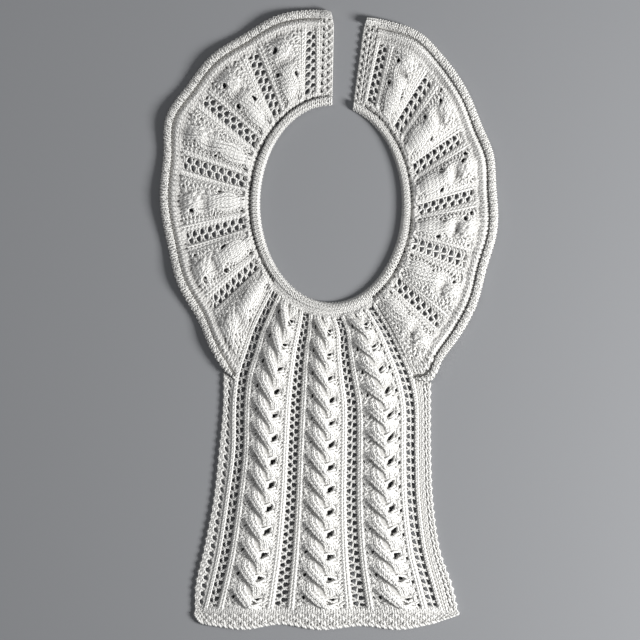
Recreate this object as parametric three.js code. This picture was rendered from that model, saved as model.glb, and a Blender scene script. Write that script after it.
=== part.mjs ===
// A hand-knitted jabot collar, lying face up on a level surface.
// Millimetres. +X is to the right, +Y runs from the jabot's hem to the opening at the back of the
// neck, and +Z is up, off the surface. The origin is under the middle of the whole collar.
import * as THREE from "three";

// The neck opening is an ellipse, open at the back.
const NECK = { x: 1.5, y: 86.6, halfWidth: 52.9, halfHeight: 73.5 };

// Knitting gauge, counted in stitches round the neck and in rows away from it.
const REPEAT_STITCHES = 12;
const CROSSING_ROWS = 6;
const FIRST_CROSSING_ROW = 5;
const WING_ROWS = 21;
const JABOT_ROWS = 80;

// Widths and thicknesses of the pieces.
const SEAM_GAP = 0.3;
const BAND_WIDTH = 6;
const BAND_HEIGHT = 4.6;
const EDGING_WIDTH = 5;
const EDGING_HEIGHT = 4.4;
const EDGING_TIP_WIDTH = 0.8;
const BORDER_THICKNESS = 2.8;
const BORDER_RIDGE = 0.5;
const EYELET_GROUND = 1.8;
const RIB_THICKNESS = 2.8;
const GUTTER_THICKNESS = 1.8;
const CABLE_THICKNESS = 3.2;
const CABLE_RIDGE = 1.9;
const RIB_OUTER_STITCH = 2.4;
const RIB_INNER_STITCH = 1.1;

// The wings' stations, one every half repeat, counted round the neck from the first eyelet column.
// neck and outer are bearings from the neck's centre in degrees, anticlockwise from +X. reach is
// the distance from there to the outer edge, bow bends the line between them sideways, and puff is
// how far the panel stands off the surface.
const WING_LEFT = [
  { at: -0.58, neck: 89.4, outer: 89.1, reach: 144.6, bow: 0, puff: 0 },
  { at: 0, neck: 102.9, outer: 95.6, reach: 146.7, bow: 0, puff: 0 },
  { at: 0.5, neck: 112.7, outer: 106.0, reach: 147.2, bow: 0, puff: 2.6 },
  { at: 1, neck: 122.5, outer: 117.2, reach: 143.5, bow: 0, puff: 0 },
  { at: 1.5, neck: 131.7, outer: 128.7, reach: 143.4, bow: 0, puff: 3.4 },
  { at: 2, neck: 140.8, outer: 140.3, reach: 140.4, bow: 0, puff: 0 },
  { at: 2.5, neck: 153.5, outer: 152.0, reach: 140.3, bow: 0, puff: 3.6 },
  { at: 3, neck: 166.2, outer: 164.0, reach: 131.2, bow: 0, puff: 0 },
  { at: 3.5, neck: 178.7, outer: 179.0, reach: 128.6, bow: 0, puff: 2.8 },
  { at: 4, neck: 191.1, outer: 194.0, reach: 126.9, bow: 0, puff: 0 },
  { at: 4.5, neck: 204.6, outer: 207.0, reach: 130.1, bow: 0, puff: 3.0 },
  { at: 5, neck: 218.2, outer: 220.5, reach: 132.7, bow: 0, puff: 0 },
  { at: 5.5, neck: 227.5, outer: 231.0, reach: 142.5, bow: -1, puff: 3.4 },
  { at: 5.67, neck: 230.7, outer: 237.0, reach: 148.5, bow: -2, puff: 1.6 },
  { at: 5.8, neck: 233.2, outer: 241.1, reach: 149.6, bow: -4, puff: 0.4 },
];
const WING_RIGHT = [
  { at: 9.2, neck: 292.3, outer: 295.6, reach: 145.1, bow: 2.7, puff: 0.4 },
  { at: 9.34, neck: 294.9, outer: 299.6, reach: 152.6, bow: 1.5, puff: 1.6 },
  { at: 9.5, neck: 297.9, outer: 305.0, reach: 145.0, bow: 0.6, puff: 3.4 },
  { at: 10, neck: 307.1, outer: 312.9, reach: 139.8, bow: 0, puff: 0 },
  { at: 10.5, neck: 320.0, outer: 325.0, reach: 133.5, bow: 0, puff: 2.8 },
  { at: 11, neck: 333.2, outer: 337.5, reach: 126.8, bow: 0, puff: 0 },
  { at: 11.5, neck: 342.0, outer: 351.5, reach: 126.5, bow: 0, puff: 3.0 },
  { at: 12, neck: 350.6, outer: 365.5, reach: 125.0, bow: 0, puff: 0 },
  { at: 12.5, neck: 365.0, outer: 377.0, reach: 127.9, bow: 0, puff: 3.4 },
  { at: 13, neck: 379.0, outer: 388.3, reach: 128.3, bow: 0, puff: 0 },
  { at: 13.5, neck: 392.5, outer: 400.6, reach: 133.7, bow: 0, puff: 3.4 },
  { at: 14, neck: 405.7, outer: 412.9, reach: 139.9, bow: 0, puff: 0 },
  { at: 14.5, neck: 416.0, outer: 422.7, reach: 145.1, bow: 0, puff: 3.0 },
  { at: 15, neck: 426.4, outer: 432.6, reach: 144.4, bow: 0, puff: 0 },
  { at: 15.58, neck: 437.0, outer: 439.7, reach: 142.5, bow: 0, puff: 0 },
];
const BACK_AT = { left: -0.58, right: 15.58 };
const WING_FIRST_AT = -RIB_OUTER_STITCH / REPEAT_STITCHES;
const WING_LAST_AT = 15 + RIB_OUTER_STITCH / REPEAT_STITCHES;
const CORNER_AT = { left: 5.67, right: 9.34 };
const SIDE_AT = { left: 5.8, right: 9.2 };
const EDGE_LIFT = 1.4;
// The back borders stop this share of a repeat short of the wings, which is about the seam gap.
const BACK_SEAM_AT = 0.012;

// The jabot's eyelet columns: where each leaves the neck, and how far down row 21 lies on it.
const JABOT_COLUMNS = [
  { at: 6, name: "c1", neck: 236.9, wingRowY: -41.6 },
  { at: 7, name: "c2", neck: 256.3, wingRowY: -49.9 },
  { at: 8, name: "c3", neck: 271.2, wingRowY: -53.6 },
  { at: 9, name: "c4", neck: 288.6, wingRowY: -41.6 },
];
// The jabot's width level by level: its two edges and its four eyelet columns.
const JABOT_LEVELS = [
  { y: -7.9, left: -79.5, c1: -53.3, c2: -18.6, c3: 10.9, c4: 41.4, right: 77.5 },
  { y: -22.9, left: -79.5, c1: -58.1, c2: -21.2, c3: 12.0, c4: 48.6, right: 77.5 },
  { y: -41.6, left: -79.5, c1: -64.3, c2: -23.2, c3: 14.0, c4: 56.3, right: 77.5 },
  { y: -64.1, left: -79.7, c1: -66.6, c2: -25.0, c3: 17.1, c4: 61.0, right: 76.5 },
  { y: -97.9, left: -83.0, c1: -67.3, c2: -26.8, c3: 17.3, c4: 61.3, right: 76.6 },
  { y: -135.4, left: -87.2, c1: -71.9, c2: -28.5, c3: 16.9, c4: 62.4, right: 78.2 },
  { y: -172.9, left: -94.8, c1: -77.6, c2: -31.3, c3: 18.4, c4: 67.0, right: 83.6 },
  { y: -199.1, left: -100.8, c1: -83.4, c2: -34.3, c3: 21.0, c4: 73.8, right: 92.8 },
  { y: -219.4, left: -100.9, c1: -88.6, c2: -36.8, c3: 23.6, c4: 79.6, right: 97.4 },
];
const SIDE_RIB_WIDTH = 6.2;
// The borders start this part of a row under the wings, which is a little over the seam gap.
const BORDER_SEAM_ROWS = 0.22;
const HEM_TOP_Y = -219.4;
// The panels' stand-off down the jabot, between its eyelet columns.
const JABOT_PUFF = [
  { at: 5.8, puff: 0.4 },
  { at: 6, puff: 0 },
  { at: 6.5, puff: 3.2 },
  { at: 7, puff: 0 },
  { at: 7.5, puff: 2.6 },
  { at: 8, puff: 0 },
  { at: 8.5, puff: 3.0 },
  { at: 9, puff: 0 },
  { at: 9.2, puff: 0.4 },
];
const JABOT_PUFF_ROWS = [
  { row: 0, share: 0 },
  { row: 8, share: 0.8 },
  { row: 18, share: 1 },
  { row: 60, share: 0.8 },
  { row: 80, share: 0.6 },
];
// The hem's scallops: its depth under the last row, from the left edge to the right.
const HEM_DEPTH = [
  { at: 5.4, depth: 1.6 },
  { at: 5.6, depth: 6.6 },
  { at: 5.8, depth: 9.0 },
  { at: 6, depth: 9.8 },
  { at: 6.5, depth: 13.0 },
  { at: 7, depth: 8.8 },
  { at: 7.5, depth: 13.2 },
  { at: 8, depth: 10.0 },
  { at: 8.5, depth: 13.0 },
  { at: 9, depth: 7.8 },
  { at: 9.2, depth: 5.6 },
  { at: 9.4, depth: 3.6 },
  { at: 9.6, depth: 1.2 },
];

// Where the walls have their edges, in stitches from an eyelet column's middle, and which of them
// the underside shares. The cable's two flanks show on top only.
const TOP_STITCHES = [
  -RIB_OUTER_STITCH, -RIB_INNER_STITCH, 0, RIB_INNER_STITCH, RIB_OUTER_STITCH, 4.2, 6, 7.8,
];
const FLANK_STITCHES = [4.2, 7.8];
const WING_CELLS = 10;
const JABOT_CELLS = 40;
const JABOT_BORDER_CELLS = 29;
const BORDER_CELLS = 2;
const HEM_CELLS = 2;
const BACK_BORDER_CELLS = 3;

// Each column has a left and a right line of eyelets, every fourth cell, stepped against each other.
const EYELET_EVERY = 4;
const EYELET_FIRST = { left: 2, right: 4 };
const EYELET_PLAIN_START = 2;
const WING_PLAIN_END = 1;
const JABOT_PLAIN_END = 2;

const WHITE_YARN = { color: 0xf1efe9, roughness: 0.92, metalness: 0 };

// Reads a named column of a table at a place between its rows, on a smooth curve through them.
function smooth(table, key, column, place) {
  const rising = table[table.length - 1][key] > table[0][key];
  let i = 0;
  while (i < table.length - 2 && (rising ? place > table[i + 1][key] : place < table[i + 1][key])) {
    i += 1;
  }
  const slope = (k) => {
    const a = table[Math.max(k - 1, 0)];
    const b = table[Math.min(k + 1, table.length - 1)];
    return (b[column] - a[column]) / (b[key] - a[key]);
  };
  const span = table[i + 1][key] - table[i][key];
  const t = (place - table[i][key]) / span;
  const t2 = t * t;
  const t3 = t2 * t;
  return (
    (2 * t3 - 3 * t2 + 1) * table[i][column] +
    (t3 - 2 * t2 + t) * slope(i) * span +
    (3 * t2 - 2 * t3) * table[i + 1][column] +
    (t3 - t2) * slope(i + 1) * span
  );
}

function bearing(degrees, reach) {
  const angle = THREE.MathUtils.degToRad(degrees);
  return new THREE.Vector2(NECK.x + reach * Math.cos(angle), NECK.y + reach * Math.sin(angle));
}

function neckEdge(degrees) {
  const angle = THREE.MathUtils.degToRad(degrees);
  const reach = 1 / Math.hypot(Math.cos(angle) / NECK.halfWidth, Math.sin(angle) / NECK.halfHeight);
  return bearing(degrees, reach);
}

// One line across a wing, from the neck edge out to the outer edge.
function wingLine(table, at) {
  const start = neckEdge(smooth(table, "at", "neck", at));
  const end = bearing(smooth(table, "at", "outer", at), smooth(table, "at", "reach", at));
  const run = end.clone().sub(start);
  const length = run.length();
  const sideways = new THREE.Vector2(-run.y, run.x).divideScalar(length);
  const bow = smooth(table, "at", "bow", at);
  const point = (along) => {
    const share = along / length;
    return start
      .clone()
      .addScaledVector(run, share)
      .addScaledVector(sideways, 4 * bow * share * (1 - share));
  };
  return { length, point };
}

// The edging keeps its width as far as the wing's lower corner, then tapers to a tip.
function edgingWidth(side, at) {
  const span = SIDE_AT[side] - CORNER_AT[side];
  const past = THREE.MathUtils.clamp((at - CORNER_AT[side]) / span, 0, 1);
  return THREE.MathUtils.lerp(EDGING_WIDTH, EDGING_TIP_WIDTH, past);
}

function wingTable(side) {
  return side === "left" ? WING_LEFT : WING_RIGHT;
}

// A point of a wing's cloth, from its first row at 0 to its last at 1.
function wingPoint(side, at, share) {
  const line = wingLine(wingTable(side), at);
  const from = BAND_WIDTH + SEAM_GAP;
  const to = line.length - edgingWidth(side, at) - SEAM_GAP;
  return line.point(THREE.MathUtils.lerp(from, to, share));
}

// Measures a line of points, so that a place on it can be found by its length.
function measured(points) {
  const lengths = [0];
  for (let i = 1; i < points.length; i += 1) {
    lengths.push(lengths[i - 1] + points[i].distanceTo(points[i - 1]));
  }
  const pointAt = (along) => {
    let i = 0;
    while (i < points.length - 2 && along > lengths[i + 1]) {
      i += 1;
    }
    const share = (along - lengths[i]) / (lengths[i + 1] - lengths[i]);
    return points[i].clone().lerp(points[i + 1], share);
  };
  const lengthWhereY = (y) => {
    const i = points.findIndex((point) => point.y <= y);
    const share = (points[i - 1].y - y) / (points[i - 1].y - points[i].y);
    return THREE.MathUtils.lerp(lengths[i - 1], lengths[i], share);
  };
  return { pointAt, lengthWhereY, total: lengths[lengths.length - 1] };
}

const PATH_STEP = 1.5;

// Steps down the jabot from a height to the hem, with x read from the levels or from another table.
function pathDown(fromY, xAt) {
  const steps = Math.ceil((fromY - HEM_TOP_Y) / PATH_STEP);
  const points = [];
  for (let i = 0; i <= steps; i += 1) {
    const y = THREE.MathUtils.lerp(fromY, HEM_TOP_Y, i / steps);
    points.push(new THREE.Vector2(xAt(y), y));
  }
  return points;
}

// A column of the jabot: rows 0 to 21 above its wing row, and rows 21 to 80 from there to the hem.
function columnPath(path, wingRowLength) {
  return (row) => {
    const start = BAND_WIDTH + SEAM_GAP;
    if (row < WING_ROWS) {
      return path.pointAt(THREE.MathUtils.lerp(start, wingRowLength, row / WING_ROWS));
    }
    const share = (row - WING_ROWS) / (JABOT_ROWS - WING_ROWS);
    return path.pointAt(THREE.MathUtils.lerp(wingRowLength, path.total, share));
  };
}

function eyeletColumn({ name, neck, wingRowY }) {
  const top = neckEdge(neck);
  const table = [{ y: top.y, x: top.x }];
  for (const level of JABOT_LEVELS) {
    table.push({ y: level.y, x: level[name] });
  }
  const path = measured(pathDown(top.y, (y) => smooth(table, "y", "x", y)));
  return columnPath(path, path.lengthWhereY(wingRowY));
}

// The jabot's side: beside the wing as far as the wing's end, then beside the outer eyelet column.
function sideColumn(side) {
  const line = wingLine(wingTable(side), SIDE_AT[side]);
  const column = side === "left" ? "c1" : "c4";
  const inward = side === "left" ? 1 : -1;
  const points = [];
  for (let along = 0; along < line.length; along += PATH_STEP) {
    points.push(line.point(along));
  }
  const end = line.point(line.length);
  points.push(end);
  const next = JABOT_LEVELS.filter((level) => level.y < end.y - PATH_STEP);
  const table = [{ y: end.y, x: end.x }];
  for (const level of next) {
    table.push({ y: level.y, x: level[column] - inward * SIDE_RIB_WIDTH });
  }
  points.push(...pathDown(end.y, (y) => smooth(table, "y", "x", y)).slice(1));
  return columnPath(measured(points), line.length);
}

const SIDES = { left: sideColumn("left"), right: sideColumn("right") };
const COLUMNS = [
  { at: SIDE_AT.left, path: SIDES.left },
  ...JABOT_COLUMNS.map((column) => ({ at: column.at, path: eyeletColumn(column) })),
  { at: SIDE_AT.right, path: SIDES.right },
];
const NECK_BEARINGS = [
  { at: SIDE_AT.left, neck: 233.2 },
  ...JABOT_COLUMNS,
  { at: SIDE_AT.right, neck: 292.3 },
];
const TOP_BLEND_ROWS = 24;

// A point of the jabot's cloth. The first row follows the neck band, and the rows under it ease
// into curves through the columns.
function jabotPoint(at, row) {
  const here = COLUMNS.map((column) => {
    const point = column.path(row);
    return { at: column.at, x: point.x, y: point.y };
  });
  const point = new THREE.Vector2(smooth(here, "at", "x", at), smooth(here, "at", "y", at));
  if (row < TOP_BLEND_ROWS) {
    const tops = COLUMNS.map((column) => {
      const top = column.path(0);
      return { at: column.at, x: top.x, y: top.y };
    });
    const curved = new THREE.Vector2(smooth(tops, "at", "x", at), smooth(tops, "at", "y", at));
    const share = (1 - row / TOP_BLEND_ROWS) ** 2;
    point.addScaledVector(bandOuter(at).sub(curved), share);
  }
  return point;
}

// The first row's line, just outside the neck band at the jabot.
function bandOuter(at) {
  const degrees = smooth(NECK_BEARINGS, "at", "neck", at);
  return bandPoint(at, degrees, BAND_WIDTH + SEAM_GAP);
}

// The way each line leaves the neck edge: along the wings' lines, and down the jabot's columns.
function bandPoint(at, degrees, along) {
  const edge = neckEdge(degrees);
  if (at <= SIDE_AT.left) {
    return wingLine(WING_LEFT, at).point(along);
  }
  if (at >= SIDE_AT.right) {
    return wingLine(WING_RIGHT, at).point(along);
  }
  const left = wingLine(WING_LEFT, SIDE_AT.left);
  const right = wingLine(WING_RIGHT, SIDE_AT.right);
  const share = (at - SIDE_AT.left) / (SIDE_AT.right - SIDE_AT.left);
  const leftWay = left.point(BAND_WIDTH).sub(left.point(0));
  const rightWay = right.point(BAND_WIDTH).sub(right.point(0));
  const turn = THREE.MathUtils.lerp(leftWay.angle(), rightWay.angle(), share);
  return edge.add(new THREE.Vector2(Math.cos(turn), Math.sin(turn)).multiplyScalar(along));
}

// Thickness of the knitting at a stitch of the repeat, with the cable's strands as slanting ridges.
function knitThickness(stitch, row) {
  const fromColumn = Math.min(stitch, REPEAT_STITCHES - stitch);
  if (fromColumn < RIB_INNER_STITCH) {
    return THREE.MathUtils.lerp(EYELET_GROUND, RIB_THICKNESS, fromColumn / RIB_INNER_STITCH);
  }
  if (fromColumn < RIB_OUTER_STITCH + 0.01) {
    const share = (fromColumn - RIB_INNER_STITCH) / (RIB_OUTER_STITCH - RIB_INNER_STITCH);
    return THREE.MathUtils.lerp(RIB_THICKNESS, GUTTER_THICKNESS, share);
  }
  const middle = REPEAT_STITCHES / 2;
  const turns = (row - FIRST_CROSSING_ROW - (stitch - middle)) / CROSSING_ROWS;
  return CABLE_THICKNESS + CABLE_RIDGE * Math.cos(Math.PI * turns) ** 2;
}

function stitchOf(at) {
  const stitch = (at * REPEAT_STITCHES) % REPEAT_STITCHES;
  return stitch < 0 ? stitch + REPEAT_STITCHES : stitch;
}

// How far the wing's underside stands off the surface.
function wingLift(side, at, share) {
  const puff = smooth(wingTable(side), "at", "puff", at);
  const mid = Math.sin(Math.PI * at) ** 2;
  return Math.max(puff, 0) * Math.sin(Math.PI * share ** 0.9) + EDGE_LIFT * mid * share * share;
}

function jabotLift(at, row) {
  const puff = smooth(JABOT_PUFF, "at", "puff", at);
  return Math.max(puff, 0) * Math.max(smooth(JABOT_PUFF_ROWS, "row", "share", row), 0);
}

// Makes one closed wall of knitting from a grid. Stations run anticlockwise round the neck and rows
// away from it. An open cell is an eyelet. Stations marked topOnly have no point underneath.
function knittedWall(stations, rowCount, pointAt, bottomAt, topAt, isOpen) {
  const positions = [];
  const top = [];
  const bottom = [];
  for (let i = 0; i < stations.length; i += 1) {
    top.push([]);
    bottom.push([]);
    for (let j = 0; j <= rowCount; j += 1) {
      const place = pointAt(i, j);
      const low = bottomAt(i, j);
      top[i].push([place.x, place.y, low + topAt(i, j)]);
      bottom[i].push([place.x, place.y, low]);
    }
  }
  const triangle = (a, b, c) => positions.push(...a, ...b, ...c);
  const quad = (a, b, c, d) => {
    triangle(a, b, c);
    triangle(a, c, d);
  };
  const shared = stations.map((station, i) => i).filter((i) => !stations[i].topOnly);
  const solid = (i, j) =>
    i >= 0 && i < stations.length - 1 && j >= 0 && j < rowCount && !isOpen(i, j);
  for (let i = 0; i < stations.length - 1; i += 1) {
    for (let j = 0; j < rowCount; j += 1) {
      if (solid(i, j)) {
        quad(top[i][j], top[i][j + 1], top[i + 1][j + 1], top[i + 1][j]);
      }
    }
  }
  for (let k = 0; k < shared.length - 1; k += 1) {
    const i = shared[k];
    const n = shared[k + 1];
    for (let j = 0; j < rowCount; j += 1) {
      if (!solid(i, j)) {
        continue;
      }
      quad(bottom[i][j], bottom[n][j], bottom[n][j + 1], bottom[i][j + 1]);
      if (!solid(i, j - 1)) {
        triangle(bottom[n][j], bottom[i][j], top[i][j]);
        for (let t = i; t < n; t += 1) {
          triangle(bottom[n][j], top[t][j], top[t + 1][j]);
        }
      }
      if (!solid(i, j + 1)) {
        triangle(bottom[i][j + 1], bottom[n][j + 1], top[n][j + 1]);
        for (let t = n; t > i; t -= 1) {
          triangle(bottom[i][j + 1], top[t][j + 1], top[t - 1][j + 1]);
        }
      }
      if (!solid(i - 1, j)) {
        quad(bottom[i][j], bottom[i][j + 1], top[i][j + 1], top[i][j]);
      }
      if (!solid(n, j)) {
        quad(bottom[n][j + 1], bottom[n][j], top[n][j], top[n][j + 1]);
      }
    }
  }
  return geometryFrom(positions);
}

// Sweeps a closed section, given as points of distance along the line and height, over stations.
function corded(stations, sectionAt, pointAt) {
  const rings = stations.map((at) =>
    sectionAt(at).map(([along, z]) => {
      const place = pointAt(at, along);
      return [place.x, place.y, z];
    }),
  );
  const positions = [];
  const sides = rings[0].length;
  for (let i = 0; i < rings.length - 1; i += 1) {
    for (let k = 0; k < sides; k += 1) {
      const m = (k + 1) % sides;
      positions.push(...rings[i][k], ...rings[i + 1][m], ...rings[i][m]);
      positions.push(...rings[i][k], ...rings[i + 1][k], ...rings[i + 1][m]);
    }
  }
  const last = rings[rings.length - 1];
  for (let k = 1; k < sides - 1; k += 1) {
    positions.push(...rings[0][0], ...rings[0][k], ...rings[0][k + 1]);
    positions.push(...last[0], ...last[k + 1], ...last[k]);
  }
  return geometryFrom(positions);
}

function geometryFrom(positions) {
  const geometry = new THREE.BufferGeometry();
  geometry.setAttribute("position", new THREE.Float32BufferAttribute(positions, 3));
  geometry.computeVertexNormals();
  return geometry;
}

function knitted(name, geometry) {
  const mesh = new THREE.Mesh(geometry, new THREE.MeshStandardMaterial(WHITE_YARN));
  mesh.name = name;
  return mesh;
}

// All the wall stations between two places on the neck, both ends included.
function stationsBetween(from, to) {
  const stations = [];
  for (let repeat = Math.floor(from) - 1; repeat <= Math.ceil(to) + 1; repeat += 1) {
    for (const stitch of TOP_STITCHES) {
      const at = repeat + stitch / REPEAT_STITCHES;
      if (at > from - 0.001 && at < to + 0.001) {
        stations.push({ at, stitch, topOnly: FLANK_STITCHES.includes(stitch) });
      }
    }
  }
  return stations;
}

function isEyelet(station, cell, pastLast) {
  if (cell < EYELET_PLAIN_START || cell >= pastLast) {
    return false;
  }
  const line = { [-RIB_INNER_STITCH]: "left", 0: "right" }[station.stitch];
  return line !== undefined && (cell - EYELET_FIRST[line]) % EYELET_EVERY === 0;
}

function collarWing(side, from, to) {
  const stations = stationsBetween(from, to);
  const rowOf = (j) => (j / WING_CELLS) * WING_ROWS;
  const geometry = knittedWall(
    stations,
    WING_CELLS,
    (i, j) => wingPoint(side, stations[i].at, j / WING_CELLS),
    (i, j) => wingLift(side, stations[i].at, j / WING_CELLS),
    (i, j) => knitThickness(stitchOf(stations[i].at), rowOf(j)),
    (i, j) => isEyelet(stations[i], j, WING_CELLS - WING_PLAIN_END),
  );
  return knitted(`collar_wing_${side}`, geometry);
}

function jabot() {
  const stations = stationsBetween(SIDE_AT.left, SIDE_AT.right);
  const last = stations.length - 1;
  const rowOf = (j) => (j / JABOT_CELLS) * JABOT_ROWS;
  const pointAt = (i, j) => {
    const point = jabotPoint(stations[i].at, rowOf(j));
    if (i > 0 && i < last) {
      return point;
    }
    const next = jabotPoint(stations[i === 0 ? 1 : last - 1].at, rowOf(j));
    return point.addScaledVector(next.sub(point).normalize(), SEAM_GAP);
  };
  const geometry = knittedWall(
    stations,
    JABOT_CELLS,
    pointAt,
    (i, j) => jabotLift(stations[i].at, rowOf(j)),
    (i, j) => knitThickness(stitchOf(stations[i].at), rowOf(j)),
    (i, j) => isEyelet(stations[i], j, JABOT_CELLS - JABOT_PLAIN_END),
  );
  return knitted("jabot", geometry);
}

// A rounded cord with a flat underside: its widest level, its foot and its crown are shares of it.
const CORD_SECTION = [
  { across: 0, up: 0.42 },
  { across: 0.16, up: 0 },
  { across: 0.84, up: 0 },
  { across: 1, up: 0.42 },
  { across: 0.76, up: 1 },
  { across: 0.24, up: 1 },
];

function cordSection(from, width, height, lift) {
  return CORD_SECTION.map(({ across, up }) => [from + width * across, lift + height * up]);
}

function neckBand() {
  const places = stationsBetween(BACK_AT.left, BACK_AT.right)
    .filter(({ stitch }) => stitch !== 0 && Math.abs(stitch) !== RIB_INNER_STITCH)
    .filter(({ topOnly }) => !topOnly)
    .map(({ at }) => at);
  const stations = [BACK_AT.left, ...places, BACK_AT.right];
  const degreesAt = (at) => {
    if (at <= SIDE_AT.left) {
      return smooth(WING_LEFT, "at", "neck", at);
    }
    return at >= SIDE_AT.right
      ? smooth(WING_RIGHT, "at", "neck", at)
      : smooth(NECK_BEARINGS, "at", "neck", at);
  };
  const geometry = corded(
    stations,
    () => cordSection(0, BAND_WIDTH, BAND_HEIGHT, 0),
    (at, along) => bandPoint(at, degreesAt(at), along),
  );
  return knitted("neck_band", geometry);
}

function outerEdging(side, from, to) {
  const table = wingTable(side);
  const inner = stationsBetween(from, to).map(({ at }) => at);
  const ends = side === "left" ? [BACK_AT.left, ...inner] : [...inner, BACK_AT.right];
  const stations = [...new Set([...ends, CORNER_AT[side]])].sort((a, b) => a - b);
  const geometry = corded(
    stations,
    (at) => {
      const width = edgingWidth(side, at);
      return cordSection(-width, width, EDGING_HEIGHT, wingLift(side, at, 1));
    },
    (at, along) => {
      const line = wingLine(table, at);
      return line.point(line.length + along);
    },
  );
  return knitted(`outer_edging_${side}`, geometry);
}

// Garter stitch: low ridges across the border, every other cell.
function garterThickness(j) {
  return BORDER_THICKNESS + (j % 2 === 0 ? 0 : BORDER_RIDGE);
}

function backBorder(side, from, to) {
  const stations = [];
  for (let i = 0; i <= BACK_BORDER_CELLS; i += 1) {
    stations.push({ at: THREE.MathUtils.lerp(from, to, i / BACK_BORDER_CELLS) });
  }
  const geometry = knittedWall(
    stations,
    WING_CELLS,
    (i, j) => wingPoint(side, stations[i].at, j / WING_CELLS),
    () => 0,
    (i, j) => garterThickness(j),
    () => false,
  );
  return knitted(`back_border_${side}`, geometry);
}

// The jabot's outer edge, from the wing's lower corner to the hem.
function jabotEdge(side) {
  const corner = wingLine(wingTable(side), CORNER_AT[side]);
  const top = corner.point(corner.length);
  const table = [{ y: top.y, x: top.x }];
  for (const level of JABOT_LEVELS.filter(({ y }) => y < top.y - PATH_STEP)) {
    table.push({ y: level.y, x: level[side] });
  }
  const path = measured(pathDown(top.y, (y) => smooth(table, "y", "x", y)));
  return (row) => {
    const share = (row - WING_ROWS) / (JABOT_ROWS - WING_ROWS);
    return path.pointAt(share * path.total);
  };
}

const EDGES = { left: jabotEdge("left"), right: jabotEdge("right") };

// A point of a jabot border: 0 is beside the panel and 1 on the outer edge.
function jabotBorderPoint(side, share, row) {
  const inner = SIDES[side](row);
  const outer = EDGES[side](row);
  const way = outer.clone().sub(inner);
  return inner.addScaledVector(way, share);
}

function jabotBorder(side) {
  const shares = [];
  for (let i = 0; i <= BORDER_CELLS; i += 1) {
    shares.push(i / BORDER_CELLS);
  }
  if (side === "left") {
    shares.reverse();
  }
  const rowOf = (j) =>
    THREE.MathUtils.lerp(WING_ROWS + BORDER_SEAM_ROWS, JABOT_ROWS, j / JABOT_BORDER_CELLS);
  const geometry = knittedWall(
    shares,
    JABOT_BORDER_CELLS,
    (i, j) => jabotBorderPoint(side, shares[i], rowOf(j)),
    (i) => jabotLift(SIDE_AT[side], JABOT_ROWS) * (1 - shares[i]),
    (i, j) => garterThickness(j),
    () => false,
  );
  return knitted(`jabot_border_${side}`, geometry);
}

// The hem runs under the borders too, so its stations go on past the jabot's sides.
function jabotHem() {
  const panel = stationsBetween(SIDE_AT.left, SIDE_AT.right).filter(({ topOnly }) => !topOnly);
  const first = HEM_DEPTH[0].at;
  const last = HEM_DEPTH[HEM_DEPTH.length - 1].at;
  const stations = [
    { at: first },
    { at: (first + SIDE_AT.left) / 2 },
    ...panel.map(({ at }) => ({ at })),
    { at: (last + SIDE_AT.right) / 2 },
    { at: last },
  ];
  const topPoint = (at) => {
    if (at < SIDE_AT.left) {
      const share = (SIDE_AT.left - at) / (SIDE_AT.left - first);
      return jabotBorderPoint("left", share, JABOT_ROWS);
    }
    if (at > SIDE_AT.right) {
      const share = (at - SIDE_AT.right) / (last - SIDE_AT.right);
      return jabotBorderPoint("right", share, JABOT_ROWS);
    }
    return jabotPoint(at, JABOT_ROWS);
  };
  const liftAt = (at) => {
    const place = THREE.MathUtils.clamp(at, SIDE_AT.left, SIDE_AT.right);
    return jabotLift(place, JABOT_ROWS);
  };
  const geometry = knittedWall(
    stations,
    HEM_CELLS,
    (i, j) => {
      const point = topPoint(stations[i].at);
      const depth = smooth(HEM_DEPTH, "at", "depth", stations[i].at);
      point.y -= THREE.MathUtils.lerp(SEAM_GAP, depth, j / HEM_CELLS);
      return point;
    },
    (i, j) => liftAt(stations[i].at) * (1 - j / HEM_CELLS),
    (i, j) => garterThickness(j),
    () => false,
  );
  return knitted("jabot_hem", geometry);
}

const group = new THREE.Group();
group.name = "jabot_collar";
group.add(neckBand());
group.add(collarWing("left", WING_FIRST_AT, SIDE_AT.left));
group.add(collarWing("right", SIDE_AT.right, WING_LAST_AT));
group.add(outerEdging("left", WING_FIRST_AT, SIDE_AT.left));
group.add(outerEdging("right", SIDE_AT.right, WING_LAST_AT));
group.add(backBorder("left", BACK_AT.left, WING_FIRST_AT - BACK_SEAM_AT));
group.add(backBorder("right", WING_LAST_AT + BACK_SEAM_AT, BACK_AT.right));
group.add(jabot());
group.add(jabotBorder("left"));
group.add(jabotBorder("right"));
group.add(jabotHem());

export default group;
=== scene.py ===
# %% [markdown]
# # A hand-knitted jabot collar
#
# The real object is one piece of white cotton knitting: a round collar, open at the back of the
# neck, whose front runs on down into a long jabot. A repeat of one rope cable, a gutter, a smooth
# rib and two lines of eyelets fans out from the neck and runs down the front.
#
# The three.js model holds the cloth as solid walls. Here the same mapping, from stitches and rows to
# places on the collar, carries the yarn itself: one yarn for every row of knitting, loop by loop, as
# a knitter makes it. Under the loops lies a thin ground that closes the gaps between them, as the
# fluff of real cotton does; its grey is painted shade between the loops.
#
# Units are millimetres until a mesh is made, and metres in Blender. The imported CAD model is loaded
# first, as the frame that every piece is placed in, and nothing here moves or changes it.

import math

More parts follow.
